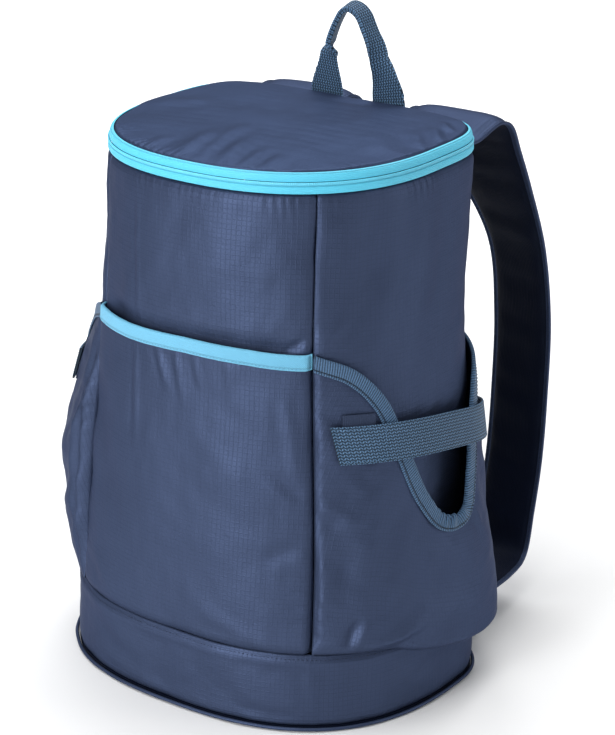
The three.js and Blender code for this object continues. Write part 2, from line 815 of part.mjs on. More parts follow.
function shoulderKnots(across, side) {
  const spreadAt = (up) => smooth(SHOULDER_SPREAD_START, 1, up);
  const widthAt = (up) => THREE.MathUtils.lerp(SHOULDER_WIDTH, SHOULDER_TOP_WIDTH, spreadAt(up));
  const centreAt = (up) => THREE.MathUtils.lerp(SHOULDER_CENTRE, SHOULDER_TOP_CENTRE, spreadAt(up));
  const xAt = (up, out) => centreAt(up) + out * SHOULDER_WIDTH + across * widthAt(up);
  const inPath = shoulderPath.map(({ back, up, out }) =>
    new THREE.Vector3(side * xAt(up, out), BASE_BACK_DEPTH + back * SHOULDER_REACH, up * RIM_HEIGHT),
  );
  const foot = shoulderPath[shoulderPath.length - 1];
  return [
    ...sewnEnd(side * xAt(1, 0), SHOULDER_TOP_HEIGHT),
    ...inPath,
    ...sewnEnd(side * xAt(foot.up, foot.out), foot.up * RIM_HEIGHT).reverse(),
  ];
}

// Two knots that leave the back of the body square to it
function sewnEnd(x, height) {
  const y = backFace(x, height) + SEWN_GAP;
  return [new THREE.Vector3(x, y, height), new THREE.Vector3(x, y + SHOULDER_THICKNESS, height)];
}

function shoulderStrap(side) {
  const curves = shoulderColumns.map((across) =>
    new THREE.CatmullRomCurve3(shoulderKnots(across, side), false, "centripetal"),
  );
  return thickSheet({
    columns: shoulderColumns,
    rows: [0, SEWN_SHARE, ...evenly(3 * SEWN_SHARE, 1 - 3 * SEWN_SHARE, SHOULDER_ROWS), 1 - SEWN_SHARE, 1],
    place: (across, share) => curves[shoulderColumns.indexOf(across)].getPointAt(share),
    thickness: (across) => {
      const padding = 1 - smooth(SHOULDER_PADDED_SHARE, 0.5, Math.abs(across));
      return THREE.MathUtils.lerp(SHOULDER_EDGE_THICKNESS, SHOULDER_THICKNESS, padding);
    },
  });
}

// A small upright triangle of doubled webbing in each back seam, where the strap's foot is sewn
function strapTab(side) {
  const halfShare = TAB_THICKNESS / 2 / halfGirth(BASE_SEAM_HEIGHT);
  const rings = [TAB_AROUND - halfShare, TAB_AROUND + halfShare].map((around) =>
    tabCorners.map(({ up, out }) =>
      bodyPoint(side * around, TAB_FOOT + up * TAB_HEIGHT, GAP + out * TAB_REACH),
    ),
  );
  return loft(rings, [[0, 1, 2], [0, 2, 3]]);
}

const cooler = new THREE.Group();

function addPiece(name, geometry, colour, roughness = 0.8, metalness = 0) {
  const material = new THREE.MeshStandardMaterial({ color: colour, roughness, metalness });
  material.flatShading = true;
  const mesh = new THREE.Mesh(geometry, material);
  mesh.name = name;
  cooler.add(mesh);
  return mesh;
}

addPiece("front_panel", frontPanel(), colours.ripstop, 0.6);
addPiece("back_panel", backPanel(), colours.strap);
addPiece("base_band", baseBand(), colours.foot, 0.6);
addPiece("bottom_panel", bottomPanel(), colours.strap);
addPiece("base_piping", basePiping(), colours.strap);
addPiece("lid_panel", lidPanel(), colours.lid, 0.6);

const lowerTapeFoot = RIM_HEIGHT + GAP;
const teethFoot = lowerTapeFoot + ZIP_TAPE_HEIGHT;
const upperTapeFoot = teethFoot + ZIP_TEETH_HEIGHT;
const lowerTape = zipStrip(lowerTapeFoot, ZIP_TAPE_HEIGHT - GAP, 0, FABRIC_WALL);
const teeth = zipStrip(teethFoot, ZIP_TEETH_HEIGHT - GAP, ZIP_TEETH_OUTSET, FABRIC_WALL);
const upperTape = zipStrip(upperTapeFoot, ZIP_TAPE_HEIGHT, 0, FABRIC_WALL);
addPiece("zip_tape_lower", lowerTape, colours.zip);
addPiece("zip_teeth", teeth, colours.teeth);
addPiece("zip_tape_upper", upperTape, colours.zip);

const slider = addPiece("zip_slider", zipSlider(), colours.metal, 0.4, 0.8);
const sliderAround = -BACK_SEAM + SLIDER_FROM_SEAM;
const sliderSeat = bodyPoint(sliderAround, teethFoot, ZIP_TEETH_OUTSET + GAP);
const sliderOut = bodyPoint(sliderAround, teethFoot, ZIP_TEETH_OUTSET + GAP + 1).sub(sliderSeat);
slider.position.set(sliderSeat.x, sliderSeat.y, teethFoot + SLIDER_WIDTH / 2);
slider.rotation.set(Math.PI / 2, Math.atan2(sliderOut.x, -sliderOut.y), 0, "ZXY");

addPiece("front_pocket", frontPocket(), colours.ripstop, 0.6);
addPiece("front_pocket_binding", frontPocketBinding(), colours.cyanTape);
addPiece("haul_loop", haulLoop(), colours.webbing);

for (const [name, side] of [["right", 1], ["left", -1]]) {
  addPiece(`side_panel_${name}`, sidePanel(side), colours.ripstop, 0.6);
  addPiece(`side_pocket_${name}`, sidePocket(side), colours.ripstop, 0.6);
  addPiece(`side_pocket_binding_${name}`, sidePocketBinding(side), colours.darkTape);
  addPiece(`side_strap_${name}`, sideStrap(side), colours.webbing);
  addPiece(`grip_patch_${name}`, gripPatch(side), colours.grip);
  addPiece(`shoulder_strap_${name}`, shoulderStrap(side), colours.strap);
  addPiece(`strap_tab_${name}`, strapTab(side), colours.darkTape);
}

export default cooler;
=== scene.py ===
"""Cooler backpack: cloth, webbing, zip and light, fitted over the packed frame.

Shapes are worked out in millimetres as whole numpy arrays and put into meshes in metres. "Around" is a
share of half the pack's girth: 0 at the front centre, 1 at the back centre, positive on the +X side.
"Outset" is a level distance outwards from the pack's own surface.
"""

import bpy
import mathutils
import numpy as np
from bpy.props import FloatProperty, FloatVectorProperty, PointerProperty
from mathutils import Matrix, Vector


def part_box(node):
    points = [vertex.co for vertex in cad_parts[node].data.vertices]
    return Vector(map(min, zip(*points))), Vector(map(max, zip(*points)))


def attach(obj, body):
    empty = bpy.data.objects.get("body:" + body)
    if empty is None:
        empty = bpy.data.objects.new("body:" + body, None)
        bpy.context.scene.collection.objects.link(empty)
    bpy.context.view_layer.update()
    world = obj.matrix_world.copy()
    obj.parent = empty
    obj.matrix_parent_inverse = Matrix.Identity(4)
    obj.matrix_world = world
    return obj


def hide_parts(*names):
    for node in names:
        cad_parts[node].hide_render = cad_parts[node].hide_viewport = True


bl_info = {
    "name": "Cooler backpack",
    "version": (1, 0, 0),
    "blender": (4, 5, 0),
    "location": "View3D > Sidebar > Cooler backpack",
    "description": "Builds the cloth, webbing, zip and studio of a soft cooler backpack",
    "category": "Object",
}

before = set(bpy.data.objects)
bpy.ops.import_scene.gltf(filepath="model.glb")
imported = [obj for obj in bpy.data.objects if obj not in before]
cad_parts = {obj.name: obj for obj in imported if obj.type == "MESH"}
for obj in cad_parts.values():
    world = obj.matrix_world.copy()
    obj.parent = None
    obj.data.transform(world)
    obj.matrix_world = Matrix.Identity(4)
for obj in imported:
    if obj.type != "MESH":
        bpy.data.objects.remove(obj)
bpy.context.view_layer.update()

MM = 0.001
FULL_TURN = 6.283
UP = np.array([0.0, 0.0, 1.0])

# Seams and gaps as shares of half the girth, and the girth that folds are laid out on
FRONT_SEAM, BACK_SEAM, SEAM_GAP, ZIP_END = 0.25, 0.75, 0.0008, 0.001
NOMINAL_HALF_GIRTH = 400.0
SLANT = 0.03

# Sizes in millimetres
GAP = 0.4
BACK_HEAD, ZIP_MIDDLE, LID_SEAT = 7.6, 7.5, 8.2
LID_OUTSET, LID_COLUMNS = -2.2, 420
PLATE, PLATE_MIDDLE = 4.0, -38.5
STRAP_LIFT, GRIP_PAD = 2.6, (34, 1.1)
STRAP_EDGE, STRAP_RUN = 2.2, 520.0
TAPE_STITCH = {"pitch": 2.9, "size": 2.1, "thick": 0.45}
NODES = {"side_webbing": "side_strap", "grip_pad": "grip_patch"}
# A side's sign and name, where its webbing starts, its grip pad's span and its box of stitches
SIDE_STRAPS = (
    (1, "right", 0.052, (0.095, 0.212), (0.06, 0.24)),
    (-1, "left", 0.2, (0.21, 0.31), (0.208, 0.33)),
)


# Tables


def table(names, *rows):
    """A small table with named columns: one array for each name."""
    return dict(zip(names.split(), np.array(rows, float).T))


def read(tab, key, column, share):
    """Reads a column at any shares: a cubic curve through the rows, level past both ends.

    The slope at a row is the harmonic mean of its neighbours' slopes, so the curve never overshoots.
    """
    x, y = tab[key], tab[column]
    step = np.diff(x)
    rate = np.diff(y) / step
    slope = np.zeros_like(y)
    slope[0], slope[-1] = rate[0], rate[-1]
    if len(x) > 2:
        same = rate[1:] * rate[:-1] > 0
        total = np.where(same, rate[1:] + rate[:-1], 1.0)
        slope[1:-1] = np.where(same, 2 * rate[1:] * rate[:-1] / total, 0.0)
    s = np.clip(share, x[0], x[-1])
    i = np.clip(np.searchsorted(x, s, side="right") - 1, 0, len(step) - 1)
    t = (s - x[i]) / step[i]
    return (
        y[i] * (1 + 2 * t) * (1 - t) ** 2
        + slope[i] * step[i] * t * (1 - t) ** 2
        + y[i + 1] * t * t * (3 - 2 * t)
        + slope[i + 1] * step[i] * t * t * (t - 1)
    )


BODY_SECTIONS = table(
    "up width front back front_square back_square",
    (0, 1, 1, 1, 2.55, 2.8),
    (0.15, 0.994, 0.98, 1.08, 2.5, 2.9),
    (0.375, 0.943, 0.928, 1.16, 2.48, 3.1),
    (0.625, 0.876, 0.886, 1.165, 2.42, 3.0),
    (0.75, 0.844, 0.868, 1.2, 2.38, 3.2),
    (0.875, 0.824, 0.858, 1.24, 2.34, 3.8),
    (1, 0.814, 0.84, 1.25, 2.31, 4.3),
    (1.04, 0.795, 0.835, 1.265, 2.3, 4.3),
)
MOUTH = table(
    "along height",
    (0, 1), (0.145, 0.955), (0.251, 0.875), (0.32, 0.757), (0.404, 0.597), (0.49, 0.517),
    (0.585, 0.512), (0.64, 0.606), (0.69, 0.73), (0.79, 0.85), (1, 0.91),
)
BULGES = table(
    "up right left",
    (0.13, 1, 0.02), (0.2, 1, 0.05), (0.27, 0.88, 0.3), (0.37, 0.66, 0.62),
    (0.56, 0.42, 1), (0.73, 0.3, 0.64), (0.87, 0.2, 0.28), (0.94, 0.13, 0.06), (1, 0.06, 0),
)
SAGS = table(
    "along sag",
    (0, 0), (0.25, 0.05), (0.34, 0.38), (0.47, 0.68), (0.56, 0.86), (0.68, 1), (0.84, 1),
    (0.93, 0.55), (1, 0),
)
DENTS = table(
    "around up wide tall depth",
    (-0.19, 0.74, 0.035, 0.14, -2.1),
    (0.02, 0.86, 0.11, 0.06, 1.3),
    (0.36, 0.86, 0.05, 0.07, -1.8),
    (-0.05, 0.42, 0.1, 0.13, 1.8),
    (0.31, 0.33, 0.03, 0.1, -2.1),
    (-0.33, 0.86, 0.05, 0.08, -1.8),
)
STRAP_PATH = table(
    "back up out",
    (0.4, 1.013, 0), (0.52, 0.998, 0), (0.62, 0.94, 0), (0.73, 0.86, 0), (0.89, 0.725, 0), (1, 0.56, 0),
    (1, 0.4, 0), (0.93, 0.265, 0.05), (0.81, 0.17, 0.12), (0.67, 0.09, 0.2), (0.45, 0.078, 0.27),
)
LOOP_PATH = table(
    "across up",
    (-0.95, 0.12), (-0.94, 0.31), (-0.92, 0.51), (-0.91, 0.62), (-0.88, 0.7), (-0.76, 0.83), (-0.59, 0.96),
    (-0.43, 1.045), (-0.23, 1.08), (0, 1.055), (0.17, 1), (0.34, 0.88), (0.53, 0.73), (0.62, 0.59),
    (0.75, 0.48), (0.88, 0.31), (0.95, 0.17),
)

# Soft folds: where each starts and ends (around, height), how wide it is and how high (mm)
FOLD_NAMES = "from_around from_up to_around to_up width height"
WALL_FOLDS = table(
    FOLD_NAMES,
    (-0.113, 392, -0.108, 280, 2.6, 0.8),
    (-0.06, 400, -0.085, 300, 16, 0.9),
    (0.05, 398, 0.07, 310, 22, 1.0),
    (0.215, 287, 0.252, 305, 3.5, -1.6),
    (0.198, 286, 0.232, 296, 3.0, -0.9),
    (0.252, 282, 0.31, 312, 5.0, 1.3),
    (0.27, 392, 0.33, 330, 12, 1.2),
    (0.42, 396, 0.40, 300, 14, 1.0),
    (0.55, 396, 0.53, 290, 12, -1.0),
    (-0.30, 392, -0.33, 300, 10, 1.2),
    (-0.5, 392, -0.46, 300, 12, 1.0),
)
FRONT_POCKET_FOLDS = table(
    FOLD_NAMES,
    (-0.108, 278, -0.09, 190, 3.0, 1.1),
    (-0.058, 280, -0.02, 244, 3.2, 1.5),
    (-0.012, 280, 0.012, 238, 3.0, 1.2),
    (0.03, 279, 0.048, 250, 3.0, 1.0),
    (0.1, 279, 0.108, 255, 4.0, 0.7),
    (-0.17, 250, -0.10, 120, 16, 1.4),
    (-0.07, 250, -0.03, 100, 20, 1.6),
    (0.06, 240, 0.10, 90, 24, 1.3),
    (0.2, 260, 0.225, 190, 5, 0.8),
    (0.17, 200, 0.245, 178, 5, -0.9),
    (0.16, 130, 0.246, 150, 6, -0.8),
    (-0.24, 200, -0.2, 110, 7, 1.0),
    (-0.22, 100, -0.12, 66, 6, 0.9),
    (0.05, 84, 0.2, 66, 6, 0.7),
)
RIGHT_POCKET_FOLDS = table(
    FOLD_NAMES,
    (0.258, 178, 0.33, 158, 6, 1.8),
    (0.252, 130, 0.31, 196, 7, -1.4),
    (0.300, 62, 0.322, 92, 4.0, -3.4),
    (0.318, 60, 0.43, 82, 4.5, 3.0),
    (0.300, 150, 0.298, 84, 8, -1.6),
    (0.345, 190, 0.335, 100, 10, 1.6),
    (0.40, 128, 0.56, 150, 10, -1.5),
    (0.45, 140, 0.60, 92, 12, 1.8),
    (0.56, 150, 0.60, 122, 3.2, 1.4),
    (0.36, 70, 0.60, 84, 12, 1.6),
    (0.262, 240, 0.30, 200, 6, 0.9),
    (0.60, 200, 0.66, 90, 9, -1.6),
)
LEFT_POCKET_FOLDS = table(
    FOLD_NAMES,
    (-0.2645, 264, -0.2635, 52, 2.6, 1.7),
    (-0.2745, 250, -0.2725, 60, 2.8, -1.5),
    (-0.258, 262, -0.285, 210, 4.0, -2.2),
    (-0.262, 222, -0.300, 160, 4.5, 2.4),
    (-0.256, 176, -0.290, 120, 4.0, -2.0),
    (-0.262, 150, -0.330, 96, 7, 2.2),
    (-0.300, 250, -0.360, 160, 8, -2.0),
    (-0.256, 118, -0.290, 84, 4, 1.6),
    (-0.40, 130, -0.56, 100, 12, 1.8),
    (-0.60, 180, -0.68, 90, 9, -1.6),
    (-0.36, 100, -0.52, 76, 9, -1.4),
)
BASE_FOLDS = table(
    FOLD_NAMES,
    (-0.22, 60, -0.05, 30, 9, 1.0),
    (0.05, 58, 0.18, 24, 12, 0.9),
    (0.245, 58, 0.26, 14, 4, 0.7),
    (0.30, 56, 0.42, 26, 10, 1.0),
    (0.44, 40, 0.60, 18, 9, -0.9),
    (-0.5, 56, -0.35, 20, 12, 0.9),
    (-0.20, 20, 0.02, 8, 5, 0.7),
    (0.10, 14, 0.30, 8, 5, -0.7),
)
# Creases of the lid, in plan (mm from the pack's middle)
LID_FOLDS = table(
    "from_x from_y to_x to_y width height",
    (-8, -122, -20, -62, 7, 1.3),
    (8, -121, -12, -40, 6, 1.2),
    (30, -120, 10, -66, 8, 1.3),
    (46, -118, 34, -76, 5, 1.0),
    (62, -113, 52, -84, 6, 0.8),
    (-38, -116, -44, -88, 6, 0.9),
    (118, -6, 92, 26, 5, 1.0),
    (120, 18, 96, 46, 4.5, 1.0),
    (114, 44, 92, 62, 4, 0.9),
    (110, -40, 70, 6, 12, 1.0),
    (-114, -20, -70, 10, 12, 1.0),
    (-20, 60, 40, 78, 9, -0.8),
)


# The add-on's values


def length(name, description, default, **more):
    """A size in metres."""
    return FloatProperty(
        name=name, description=description, default=default, min=0.0, precision=4,
        subtype="DISTANCE", unit="LENGTH", **more,
    )


def strength(name, description, default):
    """A light's power or strength."""
    return FloatProperty(name=name, description=description, default=default, min=0)


def colour(name, description, hexed):
    """A colour, given as the usual six-figure code and kept as linear light."""
    parts = [int(hexed[i : i + 2], 16) / 255 for i in (0, 2, 4)]
    linear = [c / 12.92 if c <= 0.04045 else ((c + 0.055) / 1.055) ** 2.4 for c in parts]
    return FloatVectorProperty(
        name=name, description=description, default=linear, size=3, min=0, max=1, subtype="COLOR"
    )


class CoolerBody(bpy.types.PropertyGroup):
    rim: length("Rim height", "Height of the zip's lower edge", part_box("front_panel")[1][2])
    base_seam: length("Base seam", "Height of the seam round the foot", 61 * MM)
    half_width: length("Half width", "Half the width at the floor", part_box("bottom_panel")[1][0])
    front_depth: length("Front depth", "Middle to front at the floor", -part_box("bottom_panel")[0][1])
    back_depth: length("Back depth", "Middle to back at the floor", 72 * MM)
    padding: length("Wall padding", "Thickness of the padded walls", 5 * MM)
    puff: length("Puff", "How far padded cloth swells past its seams", 1.6 * MM)
    lid_rise: length("Lid rise", "How far the lid's middle stands above its edge", 5 * MM)
    lid_edge: length("Lid edge", "Thickness of the lid at its edge", 8 * MM)


class CoolerPockets(bpy.types.PropertyGroup):
    mouth: length("Mouth height", "Height of the pocket mouths at the seams", 284.5 * MM)
    right_bulge: length("Right bulge", "How far the right pocket stands out", 17 * MM)
    mouth_rise: length("Mouth rise", "How far the front pocket's mouth is drawn up on its right", 2.4 * MM)
    left_bulge: length("Left bulge", "How far the left pocket stands out", 25 * MM)
    sag: length("Sag", "How far the side pockets hang past the base seam", 20 * MM)
    cloth: length("Cloth", "Thickness of the pocket cloth", 1.2 * MM)
    binding: length("Edge tape", "Width of the tape on the pocket edges", 9.5 * MM)
    recess: length("Recess", "How far the front wall is set back behind its pocket", 3.2 * MM)


class CoolerWebbing(bpy.types.PropertyGroup):
    width: length("Webbing width", "Width of the webbing", 28 * MM)
    thickness: length("Webbing thickness", "Thickness of the webbing", 2 * MM)
    loop_rise: length("Loop rise", "Height of the haul loop above the rim", 80 * MM)
    loop_span: length("Loop half span", "Half the distance between the loop's feet", 30 * MM)
    strap_width: length("Strap width", "Width of the shoulder straps", 52 * MM)
    strap_top: length("Strap top width", "Width of the shoulder straps where they leave the back", 80 * MM)
    strap_place: length("Strap place", "Middle of the pack to the middle of a strap", 89 * MM)
    strap_top_place: length("Strap top place", "The same where the strap leaves the back", 69 * MM)
    strap_padding: length("Strap padding", "Thickness of the shoulder straps", 9 * MM)
    strap_reach: length("Strap reach", "How far the shoulder straps stand behind the base", 130 * MM)


class CoolerColours(bpy.types.PropertyGroup):
    ripstop: colour("Ripstop", "Body cloth", "3e4963")
    lid: colour("Lid cloth", "Lid cloth", "3d4a66")
    dark: colour("Dark cloth", "Straps' inner faces and back", "0c1122")
    zip_tape: colour("Zip tape", "Tape of the zip", "5ccdee")
    zip_teeth: colour("Zip coil", "Coil of the zip", "62cdea")
    light_tape: colour("Light edge tape", "Tape on the front pocket", "72b9dc")
    dark_tape: colour("Dark edge tape", "Tape on the side pockets", "4d6a8a")
    webbing: colour("Webbing", "Raised threads of the webbing", "52708f")
    thread: colour("Thread", "Sewing thread", "1d2a45")
    floor: colour("Floor", "Studio floor", "f6f6f6")


class CoolerStudio(bpy.types.PropertyGroup):
    key: strength("Key light", "Power of the tall front light", 40)
    fill: strength("Side light", "Power of the tall right light", 14)
    top: strength("Top light", "Power of the overhead light", 42)
    back: strength("Back light", "Power of the light on the far floor", 60)
    sky: strength("Surround", "Strength of the white surround", 0.2)
    lens: length("Focal length", "Focal length on a 36 mm sensor", 112.07 * MM)


GROUPS = {
    "cooler_body": CoolerBody,
    "cooler_pockets": CoolerPockets,
    "cooler_webbing": CoolerWebbing,
    "cooler_colours": CoolerColours,
    "cooler_studio": CoolerStudio,
}


def mm(group, name):
    """One of the add-on's sizes, in millimetres."""
    return getattr(getattr(bpy.context.scene, "cooler_" + group), name) / MM


def tint(name):
    """One of the add-on's colours, opaque."""
    return tuple(getattr(bpy.context.scene.cooler_colours, name)) + (1.0,)


# Small shape helpers


def smooth(low, high, value):
    """Eases from 0 to 1 between low and high as 3t^2 - 2t^3."""
    t = np.clip((value - low) / (high - low), 0, 1)
    return t * t * (3 - 2 * t)


def bell(x):
    """A bell 1 high: exp(-x^2)."""
    return np.exp(-x * x)


def ripple(s, z, seed, size):
    """Gentle unevenness about 1 high: twelve sine waves of near the given length, in all directions."""
    rng = np.random.default_rng(seed)
    total = np.zeros(np.broadcast(s, z).shape)
    turn_length_phase = ((0, np.pi), (0.6, 1.8), (0, 6.28))
    for turn, long, phase in zip(*(rng.uniform(low, high, 12) for low, high in turn_length_phase)):
        total = total + np.sin(FULL_TURN * (s * np.cos(turn) + z * np.sin(turn)) / (size * long) + phase)
    return total / 3.5


def fold_height(x, y, x0, y0, x1, y1, width, height):
    """One fold along a straight line: a bell across it less half a bell beside it, fading at its ends."""
    ex, ey = x1 - x0, y1 - y0
    long = np.hypot(ex, ey)
    t = ((x - x0) * ex + (y - y0) * ey) / long**2
    d = ((x - x0) * ey - (y - y0) * ex) / long
    fade = smooth(-0.05, 0.35, t) * (1 - smooth(0.6, 1.1, t))
    bend = d + 0.12 * width * np.sin(5 * t)
    return height * fade * (bell(bend / width) - 0.5 * bell((bend - 1.7 * width) / width))


def folds(tab, around, up):
    """All of a table's folds at places on the pack's surface."""
    s = around * NOMINAL_HALF_GIRTH
    total = np.zeros(np.broadcast(around, up).shape)
    for a0, z0, a1, z1, width, height in zip(*(tab[name] for name in FOLD_NAMES.split())):
        total = total + fold_height(
            s, up, a0 * NOMINAL_HALF_GIRTH, z0, a1 * NOMINAL_HALF_GIRTH, z1, width, height
        )
    return total


def through(points, count, dense=40):
    """A centripetal Catmull-Rom curve through points, at count places an equal run apart."""
    p = np.vstack([2 * points[:1] - points[1:2], points, 2 * points[-1:] - points[-2:-1]])
    steps = np.maximum(np.linalg.norm(np.diff(p, axis=0), axis=1), 1e-6)
    knots = np.concatenate([[0], np.cumsum(steps**0.5)])
    seg = np.repeat(np.arange(len(points) - 1), dense)
    part = np.tile(np.arange(dense) / dense, len(points) - 1)
    t0, t1, t2, t3 = (knots[seg + k] for k in range(4))
    t = (t1 + part * (t2 - t1))[:, None]
    t0, t1, t2, t3 = (v[:, None] for v in (t0, t1, t2, t3))
    p0, p1, p2, p3 = (p[seg + k] for k in range(4))
    a1 = (t1 - t) / (t1 - t0) * p0 + (t - t0) / (t1 - t0) * p1
    a2 = (t2 - t) / (t2 - t1) * p1 + (t - t1) / (t2 - t1) * p2
    a3 = (t3 - t) / (t3 - t2) * p2 + (t - t2) / (t3 - t2) * p3
    b1 = (t2 - t) / (t2 - t0) * a1 + (t - t0) / (t2 - t0) * a2
    b2 = (t3 - t) / (t3 - t1) * a2 + (t - t1) / (t3 - t1) * a3
    curve = np.vstack([(t2 - t) / (t2 - t1) * b1 + (t - t1) / (t2 - t1) * b2, points[-1:]])
    return evenly_along(curve, np.linspace(0, 1, count))


def run_of(points):
    """Running length along a line of points."""
    return np.concatenate([[0], np.cumsum(np.linalg.norm(np.diff(points, axis=0), axis=1))])


def evenly_along(points, shares):
    """Places on a line of points at shares of its length."""
    run = run_of(points)
    return np.stack([np.interp(shares * run[-1], run, column) for column in points.T], -1)


def unit(v):
    """Directions: vectors divided by their length."""
    return v / np.maximum(np.linalg.norm(v, axis=-1, keepdims=True), 1e-9)


def normals(points):
    """Normals of a grid of points: the first direction crossed with the second."""
    return unit(np.cross(np.gradient(points, axis=0), np.gradient(points, axis=1)))


class BodyForm:
    """The pack's own surface.

    Each level's outline is x = w |sin t|^(2/n), y = -f or b times |cos t|^(2/n), with the sizes and
    squareness n read from the sections, and is walked by its running length.
    """

    def __init__(self):
        self.rim = mm("body", "rim")
        ups = np.linspace(0, 1.06, 266)
        turn = np.linspace(0, np.pi, 4801)
        shares = np.linspace(0, 1, 1201)
        front = turn <= np.pi / 2
        self.xs, self.ys = [], []
        half_width = mm("body", "half_width")
        for up in ups:
            w, f, b, n, m = (read(BODY_SECTIONS, "up", c, up) for c in list(BODY_SECTIONS)[1:])
            power = 2 / np.where(front, n, m)
            x = half_width * w * np.abs(np.sin(turn)) ** power
            depth = np.where(front, -mm("body", "front_depth") * f, mm("body", "back_depth") * b)
            y = depth * np.abs(np.cos(turn)) ** power
            line = evenly_along(np.stack([x, y], -1), shares)
            self.xs.append(line[:, 0])
            self.ys.append(line[:, 1])
        self.xs, self.ys = np.array(self.xs), np.array(self.ys)

    def flat(self, around, up):
        """The outline's own x and y at places, between the nearest stored ones."""
        wrapped = (around + 1) % 2 - 1
        i = np.clip(up / self.rim / 1.06, 0, 1) * (self.xs.shape[0] - 1)
        j = np.abs(wrapped) * (self.xs.shape[1] - 1)
        i0 = np.minimum(i.astype(int), self.xs.shape[0] - 2)
        j0 = np.minimum(j.astype(int), self.xs.shape[1] - 2)
        fi, fj = i - i0, j - j0
        x, y = (
            (g[i0, j0] * (1 - fj) + g[i0, j0 + 1] * fj) * (1 - fi)
            + (g[i0 + 1, j0] * (1 - fj) + g[i0 + 1, j0 + 1] * fj) * fi
            for g in (self.xs, self.ys)
        )
        return np.where(wrapped < 0, -x, x), y

    def point(self, around, up, outset=0.0):
        """Points on the surface, moved level outwards."""
        around, up, outset = np.broadcast_arrays(np.asarray(around, float), np.asarray(up, float), outset)
        x, y = self.flat(around, up)
        ahead, behind = self.flat(around + 0.006, up), self.flat(around - 0.006, up)
        tx, ty = ahead[0] - behind[0], ahead[1] - behind[1]
        size = np.hypot(tx, ty)
        return np.stack([x + ty / size * outset, y - tx / size * outset, up], -1)


def dents(around, up, rim):
    """The wide soft dents and swells of the walls: bells both ways."""
    total = 0.0
    for a, u, wide, tall, depth in zip(*DENTS.values()):
        total = total + depth * np.exp(-(((around - a) / wide) ** 2) - ((up / rim - u) / tall) ** 2)
    return total


def pocket_recess(depth, along, up, level, reach):
    """How far a wall is set back behind its pocket, easing out at seams, at the foot and above a level."""
    seam = mm("body", "base_seam")
    foot = smooth(seam + 10, seam + 42, up)
    head = 1 - smooth(level, level + reach, up)
    return depth * foot * head * smooth(0, 0.16, np.minimum(along, 1 - along))


# Meshes


def flat_sizes(points):
    """Running lengths of a grid of points both ways, from its middle, as the cloth would lie flat."""
    u = np.linalg.norm(np.diff(points, axis=0), axis=2)
    v = np.linalg.norm(np.diff(points, axis=1), axis=2)
    u = np.vstack([np.zeros((1, points.shape[1])), np.cumsum(u, axis=0)])
    v = np.hstack([np.zeros((points.shape[0], 1)), np.cumsum(v, axis=1)])
    return np.stack([u - u[len(u) // 2], v], -1)


def grid_mesh(name, points, uv=None, wrap=(False, False), ends=False, closed=False, second=None):
    """A mesh from a grid of points, joined round where wrap says and with its two open ends filled.

    A closed form is turned to face outwards by the sign of its volume. second marks the places whose
    faces take the second material.
    """
    nu, nv = points.shape[:2]
    if uv is None:
        tail = [points[:1]] if wrap[0] else []
        big = np.concatenate([points, *tail], axis=0)
        side = [big[:, :1]] if wrap[1] else []
        uv = flat_sizes(np.concatenate([big, *side], axis=1))
    fu, fv = nu - (not wrap[0]), nv - (not wrap[1])
    i, j = (a.ravel() for a in np.meshgrid(np.arange(fu), np.arange(fv), indexing="ij"))
    corners = [(0, 0), (1, 0), (1, 1), (0, 1)]
    quads = np.stack([((i + a) % nu) * nv + (j + b) % nv for a, b in corners], -1)
    loops_uv = np.stack([uv[i + a, j + b] for a, b in corners], 1)
    loops, places = [quads.ravel()], [loops_uv.reshape(-1, 2)]
    sizes = [np.full(len(quads), 4)]
    if ends:
        first, last = np.arange(nv), (nu - 1) * nv + np.arange(nv)
        loops += [first[::-1], last]
        places += [np.zeros((nv, 2)), np.zeros((nv, 2))]
        sizes += [[nv], [nv]]
    loops, places, sizes = np.concatenate(loops), np.concatenate(places), np.concatenate(sizes)
    flat = points.reshape(-1, 3)
    if closed:
        a, b, c, d = (flat[quads[:, k]] for k in range(4))
        volume = (np.cross(a, b) * c).sum() + (np.cross(a, c) * d).sum()
        if volume < 0:
            starts = np.concatenate([[0], np.cumsum(sizes)[:-1]])
            owner = np.repeat(np.arange(len(sizes)), sizes)
            turned = starts[owner] + sizes[owner] - 1 - (np.arange(len(loops)) - starts[owner])
            loops, places = loops[turned], places[turned]
    mesh = bpy.data.meshes.new(name)
    mesh.vertices.add(len(flat))
    mesh.vertices.foreach_set("co", (flat * MM).ravel())
    mesh.loops.add(len(loops))
    mesh.loops.foreach_set("vertex_index", loops)
    mesh.polygons.add(len(sizes))
    mesh.polygons.foreach_set("loop_start", np.concatenate([[0], np.cumsum(sizes)[:-1]]))
    mesh.update(calc_edges=True)
    layer = mesh.uv_layers.new(name="cloth")
    layer.data.foreach_set("uv", (places * MM).ravel())
    if second is not None:
        marks = np.zeros(len(sizes), int)
        marks[: len(quads)] = second[i % nu, j % nv]
        mesh.polygons.foreach_set("material_index", marks)
    mesh.shade_smooth()
    return mesh


def band_mesh(name, points, uv=None, second=None):
    """A closed mesh from rings of points laid one after another, filled at both ends."""
    return grid_mesh(name, points, uv=uv, wrap=(False, True), ends=True, closed=True, second=second)


def piece(name, mesh, materials, replaces=(), wall=0.0, sharp=None):
    """Puts a mesh into the scene as a piece that rides on the root body."""
    obj = bpy.data.objects.new(name, mesh)
    bpy.context.scene.collection.objects.link(obj)
    for material in materials if isinstance(materials, list) else [materials]:
        mesh.materials.append(material)
    if sharp:
        mesh.set_sharp_from_angle(angle=np.radians(sharp))
    if wall:
        solid = obj.modifiers.new("wall", "SOLIDIFY")
        solid.thickness = wall * MM
        solid.offset = -1
        solid.use_even_offset = False
    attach(obj, "root")
    if replaces:
        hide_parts(*replaces)
    return obj


